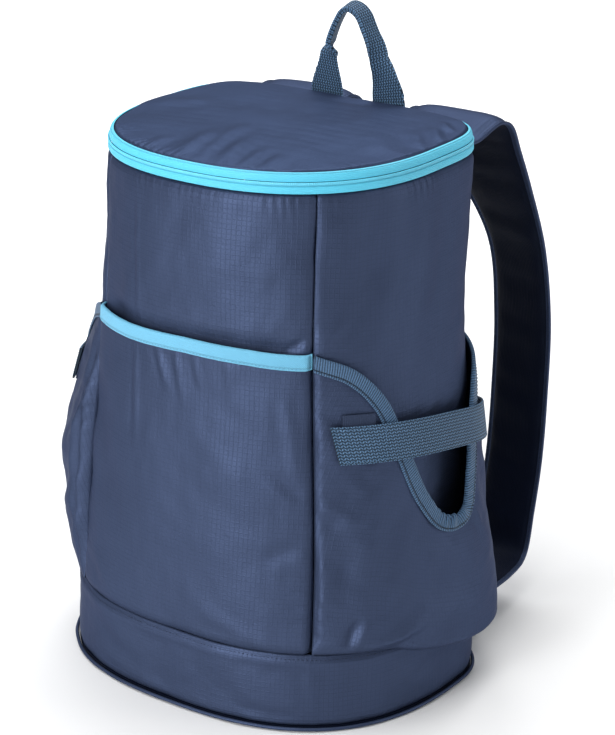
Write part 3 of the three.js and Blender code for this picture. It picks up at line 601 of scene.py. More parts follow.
def along_path(path, side, out, profile):
    """Carries a closed profile along a path: side and out are the directions of its two columns."""
    across, lift = profile[..., 0], profile[..., 1]
    return path[:, None] + side[:, None] * across[..., None] + out[:, None] * lift[..., None]


def band_profile(width, thickness, steps=12):
    """A flat band's section: two straight faces joined by half rounds."""
    half, r = width / 2 - thickness / 2, thickness / 2
    face = np.linspace(-half, half, steps)
    turn = np.linspace(-np.pi / 2, np.pi / 2, 5)[1:-1]
    right = np.stack([half + r * np.cos(turn), r * np.sin(turn)], -1)
    low = np.stack([face, np.full(steps, -r)], -1)
    return np.vstack([low, right, -low, -right])


def stitches(name, path, out, thread, slot, pitch=3.4, size=2.4, thick=0.55, lift=0.15):
    """A row of sewn stitches: small six-cornered spindles along a path, each rising to its middle."""
    run = run_of(path)
    count = int(run[-1] / pitch)
    starts = (np.arange(count) + 0.5) * pitch - size / 2

    def pick(at, rows):
        return np.stack([np.interp(at, run, column) for column in rows.T], -1)

    a, m, b = (pick(starts + size * k, path) for k in (0, 0.5, 1))
    up = unit(pick(starts + size / 2, out))
    along = unit(b - a)
    side = np.cross(up, along) * thick / 2
    high = up * thick / 2
    m = m + up * lift
    corners = np.stack([a - up * 0.1, m + side, m + high + up * 0.1, m - side, m - high, b - up * 0.1], 1)
    faces = np.array([(0, 2, 1), (0, 3, 2), (0, 4, 3), (0, 1, 4), (5, 1, 2), (5, 2, 3), (5, 3, 4), (5, 4, 1)])
    mesh = bpy.data.meshes.new(name)
    index = (np.arange(count)[:, None, None] * 6 + faces[None]).reshape(-1, 3)
    mesh.from_pydata((corners.reshape(-1, 3) * MM).tolist(), [], index.tolist())
    mesh.shade_smooth()
    mesh.materials.append(thread)
    obj = bpy.data.objects.new(name, mesh)
    bpy.context.scene.collection.objects.link(obj)
    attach(obj, "root")
    return obj


# Materials


class Finish:
    """A procedural material under construction: its node tree and its shader."""

    def __init__(self, name, rough, sheen=0.0, metal=0.0, gloss=0.5, gloss_tint=(0.62, 0.78, 1, 1)):
        self.material = bpy.data.materials.new(name)
        self.material.use_nodes = True
        self.tree = self.material.node_tree
        self.shader = self.tree.nodes["Principled BSDF"]
        self.shader.inputs["Roughness"].default_value = rough
        self.shader.inputs["Metallic"].default_value = metal
        self.shader.inputs["Sheen Weight"].default_value = sheen
        self.shader.inputs["Sheen Roughness"].default_value = 0.4
        self.shader.inputs["Specular IOR Level"].default_value = gloss
        self.shader.inputs["Specular Tint"].default_value = gloss_tint

    def add(self, kind, settings=None, **inputs):
        """Adds a node; an input is a value or another node's socket."""
        node = self.tree.nodes.new("ShaderNode" + kind)
        for key, value in (settings or {}).items():
            setattr(node, key, value)
        for key, value in inputs.items():
            numbered = key[0] == "i" and key[1:].isdigit()
            socket = node.inputs[int(key[1:]) if numbered else key.replace("_", " ")]
            if isinstance(value, bpy.types.NodeSocket):
                self.tree.links.new(value, socket)
            else:
                socket.default_value = value
        return node

    def calc(self, operation, a, b=0.0):
        """One sum of two values."""
        return self.add("Math", {"operation": operation}, i0=a, i1=b).outputs[0]

    def place(self, kind="UV"):
        """The cloth's own flat place, or the object's, as two or three socket values in millimetres."""
        coords = self.add("TexCoord").outputs[kind]
        scaled = self.add("VectorMath", {"operation": "SCALE"}, i0=coords, Scale=1000.0).outputs[0]
        parts = self.add("SeparateXYZ", None, i0=scaled).outputs
        return scaled, parts[0], parts[1]

    def noise(self, vector, size, detail=2.0, rough=0.5):
        """Noise whose lumps are about size millimetres across, from about 0 to 1."""
        settings = {"noise_dimensions": "3D"}
        node = self.add("TexNoise", settings, Vector=vector, Scale=1 / size, Detail=detail, Roughness=rough)
        return node.outputs[0]

    def blend(self, factor, low, high):
        """A mix of two colours, each a value or a socket."""
        node = self.add("Mix", {"data_type": "RGBA"}, i0=factor)
        for socket, value in ((node.inputs[6], low), (node.inputs[7], high)):
            if isinstance(value, bpy.types.NodeSocket):
                self.tree.links.new(value, socket)
            else:
                socket.default_value = value
        return node.outputs[2]

    def line(self, value, pitch, share):
        """1 on narrow lines a pitch apart and 0 between them."""
        part = self.calc("FRACT", self.calc("DIVIDE", value, pitch))
        edge = self.calc("ABSOLUTE", self.calc("SUBTRACT", part, 0.5))
        low, high = 0.5 - share, 0.5 - share * 0.4
        return self.add("MapRange", None, Value=edge, From_Min=low, From_Max=high).outputs[0]

    def finish(self, colour_socket, height, depth, rough=None):
        """Colour, relief of the given depth (mm) and, if given, roughness."""
        links = self.tree.links
        links.new(colour_socket, self.shader.inputs["Base Color"])
        bump = self.add("Bump", None, Height=height, Strength=1.0, Distance=depth * MM)
        links.new(bump.outputs[0], self.shader.inputs["Normal"])
        if rough is not None:
            links.new(rough, self.shader.inputs["Roughness"])
        return self.material


def shade(rgba, factor):
    """A colour made lighter or darker by a factor."""
    return tuple(min(1.0, c * factor) for c in rgba[:3]) + (1.0,)


def ripstop_cloth(name, base, pitch=3.6, grid=0.1, crinkle=0.55):
    """Fine cloth with a raised square grid, satin streaks along its threads and small crinkles."""
    f = Finish(name, 0.45, metal=0.6, gloss=0.2, gloss_tint=(0.2, 0.25, 0.35, 1))
    where, u, v = f.place()
    lines = f.calc("MAXIMUM", f.line(u, pitch, grid), f.line(v, pitch, grid))
    grain = f.noise(where, 0.9, 1.0)
    drawn_out = f.add("VectorMath", {"operation": "MULTIPLY"}, i0=where, i1=(1.0, 0.06, 1.0)).outputs[0]
    streak = f.noise(drawn_out, 1.6)
    broad = f.noise(where, 60.0, 3.0)
    crease = f.noise(where, 9.0, 4.0, 0.6)
    tone = f.calc("ADD", f.calc("MULTIPLY", broad, 0.45), f.calc("MULTIPLY", grain, 0.35))
    tone = f.calc("ADD", tone, f.calc("MULTIPLY", streak, 0.2))
    colour_socket = f.blend(tone, shade(base, 0.72), shade(base, 1.32))
    colour_socket = f.blend(f.calc("MULTIPLY", lines, 0.22), colour_socket, shade(base, 0.62))
    height = f.calc("ADD", f.calc("MULTIPLY", lines, 0.13), f.calc("MULTIPLY", grain, 0.25))
    height = f.calc("ADD", height, f.calc("MULTIPLY", crease, crinkle))
    rough = f.add("MapRange", None, Value=tone, To_Min=0.4, To_Max=0.56).outputs[0]
    return f.finish(colour_socket, height, 0.55, rough)


def dark_cloth(name, base):
    """Close matt cloth with faint rows and soft creases."""
    f = Finish(name, 0.6, gloss=0.12)
    where, _, v = f.place()
    rows = f.line(v, 1.4, 0.3)
    grain = f.noise(where, 1.1, 1.0)
    crease = f.noise(where, 14.0, 3.0)
    colour_socket = f.blend(grain, shade(base, 0.75), shade(base, 1.4))
    height = f.calc("ADD", f.calc("MULTIPLY", rows, 0.2), f.calc("MULTIPLY", crease, 0.8))
    return f.finish(colour_socket, height, 0.6)


def woven_webbing(name, base, column=2.0, row=2.3):
    """Herringbone webbing: columns across its length, each filled with rounded threads that slant one
    way and then the other, so a pair of columns makes a row of chevrons."""
    f = Finish(name, 0.6, sheen=0.05, gloss=0.3)
    where, u, v = f.place()
    wave = f.add("Math", {"operation": "PINGPONG"}, i0=f.calc("DIVIDE", v, column), i1=1.0).outputs[0]
    slant = f.calc("ADD", f.calc("DIVIDE", u, row), f.calc("MULTIPLY", wave, 0.55))
    strand = f.calc("ABSOLUTE", f.calc("SINE", f.calc("MULTIPLY", slant, np.pi)))
    cross = f.calc("ABSOLUTE", f.calc("SINE", f.calc("MULTIPLY", f.calc("DIVIDE", v, column), np.pi)))
    thread = f.calc("MULTIPLY", f.calc("POWER", strand, 2.0), f.calc("POWER", cross, 0.7))
    uneven = f.noise(where, 2.0, 2.0)
    tone = f.calc("MULTIPLY", thread, f.calc("ADD", 0.5, f.calc("MULTIPLY", uneven, 1.0)))
    # painted light and shade: the colour follows the threads' height, near black in the gaps and lighter on
    # the crowns, besides their uneven tone
    colour_socket = f.blend(tone, shade(base, 0.12), shade(base, 1.7))
    return f.finish(colour_socket, thread, 0.8)


def ribbed_tape(name, base, pitch=1.7, slant=0.0, dark=0.45, groove=0.0):
    """Narrow tape with ribs across its length, or slanted as twill, and a sewn groove beside one edge."""
    f = Finish(name, 0.58, sheen=0.05, gloss=0.3)
    where, u, v = f.place()
    turned = f.calc("ADD", u, f.calc("MULTIPLY", v, slant))
    rib = f.calc("ABSOLUTE", f.calc("SINE", f.calc("MULTIPLY", turned, np.pi / pitch)))
    grain = f.noise(where, 1.2, 1.0)
    tone = f.calc("ADD", f.calc("MULTIPLY", rib, 0.7), f.calc("MULTIPLY", grain, 0.4))
    off = f.calc("ABSOLUTE", f.calc("SUBTRACT", v, 3.2))
    groove_and_shade = f.add("MapRange", None, Value=off, From_Min=0.5, From_Max=0.2, To_Max=groove).outputs[0]
    # painted shade: rib valleys darken towards the dark factor, and the sewn groove is darkened almost to
    # black
    colour_socket = f.blend(f.calc("SUBTRACT", tone, 0.12), shade(base, dark), shade(base, 1.45))
    colour_socket = f.blend(groove_and_shade, colour_socket, shade(base, 0.12))
    return f.finish(colour_socket, f.calc("SUBTRACT", rib, f.calc("MULTIPLY", groove_and_shade, 2.0)), 0.35)


def zip_tape_cloth(name, base):
    """Bright zip tape: fine herringbone ribs along it and a pressed line of thread near its middle."""
    f = Finish(name, 0.5, gloss=0.4, gloss_tint=(1, 1, 1, 1))
    _, u, v = f.place()
    ribs = f.calc("SINE", f.calc("MULTIPLY", v, np.pi / 0.55))
    chevron = f.calc("SINE", f.calc("MULTIPLY", f.calc("ADD", u, f.calc("MULTIPLY", ribs, 0.4)), np.pi / 0.7))
    seam = f.line(f.calc("ADD", v, 0.8), 6.4, 0.06)
    tone = f.calc("ADD", 0.55, f.calc("MULTIPLY", chevron, 0.25))
    colour_socket = f.blend(tone, shade(base, 0.72), shade(base, 1.2))
    colour_socket = f.blend(f.calc("MULTIPLY", seam, 0.4), colour_socket, shade(base, 0.45))
    height = f.calc("SUBTRACT", f.calc("MULTIPLY", ribs, 0.3), f.calc("MULTIPLY", seam, 1.0))
    return f.finish(colour_socket, height, 0.35)


def plain_finish(name, base, rough, metal=0.0, depth=0.1):
    """Moulded or painted: a faint mottle and fine pitting."""
    f = Finish(name, rough, metal=metal, gloss_tint=(1, 1, 1, 1))
    where, _, _ = f.place("Object")
    mottle = f.noise(where, 6.0, 3.0)
    fine = f.noise(where, 0.7, 1.0)
    return f.finish(f.blend(mottle, shade(base, 0.85), shade(base, 1.12)), fine, depth)


MAKERS = {
    "ripstop": lambda: ripstop_cloth("ripstop", tint("ripstop")),
    "lid": lambda: ripstop_cloth("lid_cloth", tint("lid"), pitch=3.0, grid=0.06, crinkle=0.5),
    "dark": lambda: dark_cloth("dark_cloth", tint("dark")),
    "zip_tape": lambda: zip_tape_cloth("zip_tape", tint("zip_tape")),
    "zip_teeth": lambda: plain_finish("zip_coil", tint("zip_teeth"), 0.35),
    # the fourth value is the painted shade in the rib valleys, the fifth the depth and painted shade of the
    # sewn groove
    "light_tape": lambda: ribbed_tape("light_edge_tape", tint("light_tape"), 1.3, 1.0, 0.72, 0.25),
    "dark_tape": lambda: ribbed_tape("dark_edge_tape", tint("dark_tape"), 1.9, 0.3, 0.03, 0.9),
    # near-black cloth behind the seams: its colour is painted shade for the seam gaps
    "seam": lambda: dark_cloth("seam_allowance", shade(tint("dark"), 0.6)),
    "pad": lambda: dark_cloth("grip_cloth", shade(tint("ripstop"), 0.62)),
    "web_thread": lambda: plain_finish("webbing_thread", shade(tint("webbing"), 1.3), 0.6),
    "webbing": lambda: woven_webbing("webbing", tint("webbing")),
    "thread": lambda: plain_finish("thread", tint("thread"), 0.6),
    "light_thread": lambda: plain_finish("light_thread", shade(tint("light_tape"), 0.7), 0.6),
    "metal": lambda: plain_finish("slider_metal", (0.5, 0.52, 0.56, 1), 0.3, 0.9, 0.03),
}
made = {}


def cloth(name):
    """One of the finishes, made the first time it is asked for."""
    if name not in made:
        made[name] = MAKERS[name]()
    return made[name]


# The pack's surfaces

form = None


def seam_dip(distance, reach=3.5, depth=1.4):
    """How far cloth dips towards a seam: a bell of the distance from it."""
    return -depth * bell(distance / reach)


def gathers(s, away, seed, pitch, reach, height):
    """Short gathers beside a seam: narrow creases at uneven places, each with its own reach and height,
    strongest a little way from the seam and fading as a bell."""
    wander = s + 2.0 * ripple(s, s * 0, seed, pitch * 8)
    wander = wander + 0.25 * away * ripple(s, s * 0, seed + 1, pitch * 12)
    strength = np.clip(0.5 + 0.6 * ripple(s, s * 0, seed + 2, pitch * 6), 0, 1.4)
    ridge = np.abs(np.sin(wander * np.pi / pitch)) ** 0.6 - 0.72
    return height * strength * ridge * bell(away / (reach * (0.6 + 0.5 * strength))) * smooth(-0.5, 3, away)


def wall_grid(low, high, columns, rows, foot, head):
    """Places of a wall between two seams: around and height."""
    around = np.linspace(low + SEAM_GAP, high - SEAM_GAP, columns)[:, None]
    up = np.linspace(foot, head, rows)[None, :]
    return np.broadcast_arrays(around, up)


def wall_outset(around, up, low, high, foot, head, seed):
    """A padded wall: dents, folds and a little unevenness, dipping in at all four seams, with short
    puckers under the zip whose height fades over a finger's width."""
    s = NOMINAL_HALF_GIRTH
    sides = np.minimum(around - low, high - around) * s
    puff = mm("body", "puff")
    outset = dents(around, up, form.rim) + folds(WALL_FOLDS, around, up)
    outset = outset + 0.35 * ripple(around * s, up, seed, 46) + 0.12 * ripple(around * s, up, seed + 1, 15)
    outset = outset + gathers(around * s, head - up, seed + 2, 6.5, 11.0, 0.9)
    outset = outset + gathers(up + 0 * around, sides, seed + 5, 9.0, 9.0, 0.6)
    outset = outset + seam_dip(sides, 3.0, puff) + seam_dip(head - up, 3.2, puff * 1.3)
    return outset + seam_dip(up - foot, 3.5, puff)


def padded_wall(name, low, high, head, seed, recess, level, reach, columns=128, rows=140):
    """A wall's face, set back behind its pocket by a recess up to a level."""
    foot = mm("body", "base_seam") + 0.3
    around, up = wall_grid(low, high, columns, rows, foot, head)
    outset = wall_outset(around, up, low, high, foot, head, seed)
    along = (around - low) / (high - low)
    points = form.point(around, up, outset - pocket_recess(recess, along, up, level, reach))
    return grid_mesh(name, points)


def seam_strip(name, place):
    """The seam allowance behind an upright seam: a narrow strip just inside the cloth."""
    up = np.linspace(mm("body", "base_seam") + 1, form.rim - 1, 60)[None, :]
    around = place + np.array([-0.006, 0.0, 0.006])[:, None]
    points = form.point(around, up, -4.2)
    piece(name, grid_mesh(name, points), cloth("seam"), wall=0.6)


def build_walls():
    """The front and side walls, and the seam allowances between them."""
    rim = form.rim - 0.2
    padding = mm("body", "padding")
    recess, mouth = mm("pockets", "recess"), mm("pockets", "mouth")
    walls = [
        ("front_wall", -FRONT_SEAM, FRONT_SEAM, recess, mouth + 2, 16, "front_panel"),
        ("side_wall_right", FRONT_SEAM, BACK_SEAM, 9.0, 175, 60, "side_panel_right"),
        ("side_wall_left", -BACK_SEAM, -FRONT_SEAM, 9.0, 175, 60, "side_panel_left"),
    ]
    for seed, (name, low, high, depth, level, reach, node) in enumerate(walls):
        mesh = padded_wall(name, low, high, rim, 10 * seed + 3, depth, level, reach)
        piece(name, mesh, cloth("ripstop"), [node], wall=padding)
    for name, place in (("right", FRONT_SEAM), ("left", -FRONT_SEAM)):
        seam_strip(f"seam_allowance_{name}", place)


def build_back():
    """The padded back: two upright cushioned fields and a level seam, as plain as the photograph allows."""
    foot, head = mm("body", "base_seam") + 0.3, form.rim + BACK_HEAD
    around, up = wall_grid(BACK_SEAM, 2 - BACK_SEAM, 90, 100, foot, head)
    s = (around - 1) * NOMINAL_HALF_GIRTH
    outset = 0.3 * ripple(s, up, 91, 50) + seam_dip(s, 5, 2.2) + seam_dip(up - 215, 5, 2.2)
    edge = np.minimum(around - BACK_SEAM, 2 - BACK_SEAM - around) * NOMINAL_HALF_GIRTH
    outset = outset + seam_dip(edge, 3, 1.4) + seam_dip(head - up, 3, 1.4) + seam_dip(up - foot, 3, 1.2)
    mesh = grid_mesh("back_wall", form.point(around, up, outset))
    piece("back_wall", mesh, cloth("dark"), ["back_panel"], wall=8.0)


def round_places(columns):
    """Places all round the pack, evenly spaced."""
    return np.linspace(-1, 1, columns, endpoint=False)


def round_grid(columns, ups):
    """Places all round the pack at given heights."""
    around = round_places(columns)[:, None]
    return np.broadcast_arrays(around, np.asarray(ups, float)[None, :])


def build_base():
    """The foot band, the stiff bottom and the piping between them."""
    seam = mm("body", "base_seam")
    around, up = round_grid(380, np.linspace(4.6, seam - 0.4, 38))
    s = around * NOMINAL_HALF_GIRTH
    low, high = up[0, 0], up[0, -1]
    outset = 0.4 + folds(BASE_FOLDS, around, up) + 0.3 * ripple(s, up, 31, 44) + 0.1 * ripple(s, up, 32, 13)
    outset = outset + seam_dip(high - up, 2.6, 1.5) + 0.7 * bell((high - up - 7) / 4)
    outset = outset + seam_dip(up - low, 2.6, 0.9) - 0.5 * bell((high - up - 3.6) / 1.2)
    mesh = grid_mesh("foot_band", form.point(around, up, outset), wrap=(True, False))
    piece("foot_band", mesh, cloth("ripstop"), ["base_band"], wall=2.4)
    ring = round_places(420)
    level = 0.55 * ripple(ring * 400, ring * 0, 41, 30)
    path = form.point(ring, 2.3 + 0.35 * level, 2.1 + 0.45 * level)
    out = unit(form.point(ring, 2.0, 8.0) - form.point(ring, 2.0, 0.0))
    up_axis = np.broadcast_to(UP, out.shape)
    turn = np.linspace(0, 2 * np.pi, 10, endpoint=False)
    profile = 1.35 * np.stack([np.cos(turn), np.sin(turn)], -1)
    cord = along_path(path, out, up_axis, profile[None])
    mesh = grid_mesh("foot_piping", cord, wrap=(True, True), closed=True)
    piece("foot_piping", mesh, cloth("ripstop"), ["base_piping"])
    face = [(0.02, PLATE), (0.5, PLATE), (0.97, PLATE), (1, 0.9 * PLATE)]
    disc = plate_rings(200, face + [(share, PLATE - level) for share, level in face[::-1]])
    mesh = pole_mesh("foot_plate", disc, (0, PLATE_MIDDLE, PLATE), (0, PLATE_MIDDLE, 0.0))
    piece("foot_plate", mesh, cloth("dark"), ["bottom_panel"], sharp=40)


def plate_rings(columns, rows, outset=-0.2, level=None):
    """Rings of a plate inside the outline: each row is its share of the way out and its height."""
    ring = round_places(columns)
    share, height = np.array(rows).T[:, :, None]
    shape = (len(rows), columns)
    edge = form.point(np.broadcast_to(ring, shape), np.broadcast_to(level or height, shape), outset)
    x = edge[..., 0] * share
    y = PLATE_MIDDLE + (edge[..., 1] - PLATE_MIDDLE) * share
    return np.stack([x, y, np.broadcast_to(height, x.shape)], -1)


def pole_mesh(name, rings, top, under):
    """A closed mesh from rings of points between two poles, laid flat from above for its cloth."""
    rows, columns = rings.shape[:2]
    points = np.vstack([[top], rings.reshape(-1, 3), [under]])
    i, j = (a.ravel() for a in np.meshgrid(np.arange(rows - 1), np.arange(columns), indexing="ij"))
    after = (j + 1) % columns
    here, below = i * columns, (i + 1) * columns
    quads = 1 + np.stack([here + j, below + j, below + after, here + after], -1)
    step = np.arange(columns)
    following = (step + 1) % columns
    caps = [np.stack([step * 0, 1 + step, 1 + following], -1)]
    last = 1 + (rows - 1) * columns
    caps.append(np.stack([step * 0 + len(points) - 1, last + following, last + step], -1))
    mesh = bpy.data.meshes.new(name)
    mesh.from_pydata((points * MM).tolist(), [], quads.tolist() + np.vstack(caps).tolist())
    layer = mesh.uv_layers.new(name="cloth")
    index = np.zeros(len(mesh.loops), int)
    mesh.loops.foreach_get("vertex_index", index)
    layer.data.foreach_set("uv", (points[index][:, :2] * MM).ravel())
    mesh.shade_smooth()
    return mesh


def build_lid():
    """The domed lid: its height falls with the square of the way out; short puckers stand along its
    edge and long creases run in from the front and the right."""
    foot = form.rim + LID_SEAT + GAP
    head = form.rim + LID_SEAT + mm("body", "lid_edge")
    rise = mm("body", "lid_rise")
    fields = ((0.02, 0.86, 46), (0.875, 0.975, 22), (0.979, 1, 7))
    shares = np.concatenate([np.linspace(*field) for field in fields])
    rows = [(s, head + rise * (1 - s * s)) for s in shares]
    drop = np.concatenate([np.zeros(68), 3.4 * (np.linspace(0, 1, 7) ** 2.5)])
    rings = plate_rings(LID_COLUMNS, rows, LID_OUTSET, head)
    angle = round_places(LID_COLUMNS)[None, :]
    out = shares[:, None]
    s = angle * 400
    x, y = rings[..., 0], rings[..., 1]
    relief = sum(
        1.5 * fold_height(x, y, *row) for row in zip(*LID_FOLDS.values())
    )
    spread = 0.3 * smooth(-0.42, -0.3, angle) * smooth(0.6, 0.45, angle) + bell((angle + 0.16) / 0.13)
    relief = relief + spread * gathers(s + 0 * out, (1 - out) * 140.0, 61, 8.0, 17.0, 2.6)
    relief = relief + 0.45 * ripple(x, y, 63, 60) + 0.14 * ripple(x, y, 64, 18)
    rings[..., 2] += relief * smooth(1.0, 0.985, out) - drop[:, None]
    side = [(1, head - 5), (1, foot + 0.6), (0.99, foot)]
    under = [(0.6, foot + rise / 2), (0.02, foot + rise)]
    rings = np.concatenate([rings, plate_rings(LID_COLUMNS, side + under, LID_OUTSET, head)])
    top = rings[0].mean(axis=0)
    mesh = pole_mesh("lid", rings, top, (top[0], top[1], foot + rise))
    piece("lid", mesh, cloth("lid"), ["lid_panel"])


def zip_band(name, rows, outset, columns=620):
    """One strip of the zip as a closed band: outer face, then inner face."""
    around = np.linspace(-BACK_SEAM + ZIP_END, BACK_SEAM - ZIP_END, columns)[:, None]
    rows, outset = np.array(rows)[None, :], np.array(outset)[None, :]
    outer = form.point(around, rows, outset)
    inner = form.point(around, rows, outset - 1.3)[:, ::-1]
    ring = np.concatenate([outer, inner], axis=1)
    lengths = run_of(outer[:, 0])
    v = np.concatenate([rows[0], rows[0][::-1], rows[0][:1]]) - rows[0].min()
    uv = np.stack(np.broadcast_arrays(lengths[:, None], v[None, :]), -1)
    return band_mesh(name, ring, uv=uv)


def build_zip():
    """Two bright tapes, the upper one rolling in over the lid's edge, and the nylon coil between."""
    rim = form.rim
    low_rows = rim + np.array([0.3, 1.2, 2.4, 3.6, 4.8, 5.8, 6.3])
    low = zip_band("zip_tape_low", low_rows, [-0.5, 0.1, 0.25, 0.25, 0.2, 0.1, -0.1])
    high_rows = rim + np.array([8.7, 9.2, 10.2, 11.4, 12.6, 13.6, 14.4, 14.9])
    high = zip_band("zip_tape_high", high_rows, [-0.1, 0.1, 0.2, 0.2, 0.1, -0.1, -0.5, -1.1])
    piece("zip_tape_low", low, cloth("zip_tape"), ["zip_tape_lower"], sharp=50)
    piece("zip_tape_high", high, cloth("zip_tape"), ["zip_tape_upper"], sharp=50)
    around = np.linspace(-BACK_SEAM + ZIP_END, BACK_SEAM - ZIP_END, 3000)
    path = form.point(around, rim + ZIP_MIDDLE, 0.35)
    run = run_of(path)
    out = unit(form.point(around, rim + ZIP_MIDDLE, 4.0) - form.point(around, rim + ZIP_MIDDLE, 0.0))
    up_axis = np.broadcast_to(UP, out.shape)
    turn = np.linspace(0, 2 * np.pi, 10, endpoint=False)
    tooth = np.abs(np.sin(run * np.pi / 1.3))[:, None]
    split = bell(np.sin(turn) / 0.25)[None, :] * (np.cos(turn) > 0)[None, :]
    lift = np.cos(turn)[None, :] * (0.42 + 0.28 * tooth) - 0.35 * split
    rise = np.sin(turn)[None, :] * (1.0 + 0.08 * tooth)
    mesh = band_mesh("zip_coil", along_path(path, up_axis, out, np.stack([rise, lift], -1)))
    piece("zip_coil", mesh, cloth("zip_teeth"), ["zip_teeth"])
    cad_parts["zip_slider"].material_slots[0].material = cloth("metal")


# Pockets


def front_pocket_outset(around, up):
    """The front pocket's outer face: the wall's swells, its own folds, dipping in at side seams and foot."""
    s = NOMINAL_HALF_GIRTH
    sides = (FRONT_SEAM - np.abs(around)) * s
    outset = 2.4 + np.maximum(dents(around, up, form.rim), 0) + folds(FRONT_POCKET_FOLDS, around, up)
    outset = outset + 0.4 * ripple(around * s, up, 71, 52) + 0.13 * ripple(around * s, up, 72, 17)
    outset = outset + gathers(up + 0 * around, sides, 73, 10.0, 10.0, 0.7)
    foot = up - mm("body", "base_seam")
    outset = outset + gathers(around * s + 0 * up, foot, 78, 11.0, 7.0, 0.5)
    return outset + seam_dip(sides, 3.0, 3.6) + seam_dip(foot, 3.5, 2.4)


def tape_profile(width):
    """Section of an edge tape folded over a cloth edge: across runs past the edge, lift outwards."""
    outer = [(-width, 0.3), (-width, 1.2), (-width + 0.8, 1.5), (-width * 0.6, 1.6), (-width * 0.3, 1.6)]
    fold = [(-0.4, 1.7), (0.9, 1.5), (1.6, 0.8), (1.7, -0.2), (1.4, -1.1), (0.6, -1.5)]
    inner = [(0.3, -0.6), (0.2, 0.25), (-width * 0.5, 0.3)]
    return np.array(outer + fold + inner)


def front_mouth(around):
    """The front pocket's mouth: level, but drawn up on its right half by a squared parabola."""
    hump = np.clip(1 - ((around - 0.06) / 0.19) ** 2, 0, 1) ** 2
    return mm("pockets", "mouth") + mm("pockets", "mouth_rise") * hump


def build_front_pocket():
    """The flat front pocket, its edge tape and the tape's stitches."""
    foot = mm("body", "base_seam") + 0.4
    around, share = wall_grid(-FRONT_SEAM, FRONT_SEAM, 132, 144, 0.0, 1.0)
    up = foot + (front_mouth(around) - foot) * share
    points = form.point(around, up, front_pocket_outset(around, up))
    pocket_cloth("front_pocket_cloth", points, "front_pocket")
    ring = np.linspace(-FRONT_SEAM + SEAM_GAP, FRONT_SEAM - SEAM_GAP, 240)
    profile = tape_profile(mm("pockets", "binding"))
    across, lift = profile[None, :, 0], profile[None, :, 1]
    mouth = front_mouth(ring)
    hem = front_pocket_outset(ring, mouth - 3.0)
    tape = form.point(ring[:, None], mouth[:, None] + across, hem[:, None] + 0.1 + lift)
    uv = tape_places(tape, profile)
    mesh = band_mesh("front_pocket_tape", tape, uv=uv)
    piece("front_pocket_tape", mesh, cloth("light_tape"), ["front_pocket_binding"])
    level = mouth - mm("pockets", "binding") + 1.5
    path = form.point(ring[3:-3], level[3:-3], hem[3:-3] + 1.75)
    out = path - form.point(ring[3:-3], level[3:-3], hem[3:-3] - 2)
    stitches("front_pocket_stitches", path, out, cloth("light_thread"), "light_binding", **TAPE_STITCH)


def tape_places(tape, profile):
    """Flat places of a tape: u is the run along its middle, v the run round its section."""
    lengths = run_of(tape[:, 4])
    loop = np.vstack([profile, profile[:1]])
    return np.stack(np.broadcast_arrays(lengths[:, None], run_of(loop)[None, :]), -1)


def pocket_cloth(name, points, node):
    """A pocket's sheet of cloth, declared by its longest running width and length and its area."""
    thickness = mm("pockets", "cloth")
    obj = piece(name, grid_mesh(name, points), cloth("ripstop"), [node], wall=thickness)


def side_outset(side, along, up):
    """How far a side pocket stands out: its bulge spread as a skewed half sine, read by height."""
    name = "right" if side > 0 else "left"
    skew = 1.6 if side > 0 else 0.9
    spread = np.sqrt(np.maximum(np.sin(np.pi * np.clip(along, 0, 1) ** skew), 0))
    share = read(BULGES, "up", name, up / mm("pockets", "mouth"))
    close = 0.0 if side > 0 else 1.4 * (1 - smooth(0, 0.2, along))
    return 2.4 - close + mm("pockets", name + "_bulge") * spread * share


def side_point(side, along, up, extra=0.0):
    """Points over a side pocket: along runs from the front seam, 0, to the back seam, 1."""
    around = FRONT_SEAM + SEAM_GAP + (BACK_SEAM - FRONT_SEAM - 2 * SEAM_GAP) * along
    return form.point(side * around, up, side_outset(side, along, up) + extra)


def side_folds(side, along, up):
    """Folds, puckers beside the seams and slack unevenness of a side pocket, fading at its tape."""
    around = side * (FRONT_SEAM + (BACK_SEAM - FRONT_SEAM) * along)
    tab = RIGHT_POCKET_FOLDS if side > 0 else LEFT_POCKET_FOLDS
    s = around * NOMINAL_HALF_GIRTH
    relief = folds(tab, around, up) + (0.5 if side > 0 else 0.9) * ripple(s, up, 81 + side, 40)
    relief = relief + 0.16 * ripple(s, up, 83 + side, 14)
    sides = np.minimum(along, 1 - along) * 200
    relief = relief + gathers(up + 0 * s, sides, 85 + side, 11.0, 13.0, 0.9 if side > 0 else 1.5)
    return relief * smooth(0, 5, sides) + seam_dip(sides, 3.0, 3.6)


def mouth_line(count):
    """The mouth's edge in a flat picture of the side, and its unit direction."""
    wide = (BACK_SEAM - FRONT_SEAM) * 390.0
    points = np.stack([MOUTH["along"] * wide, MOUTH["height"] * mm("pockets", "mouth")], -1)
    line = through(points, count)
    return line, unit(np.gradient(line, axis=0)), wide


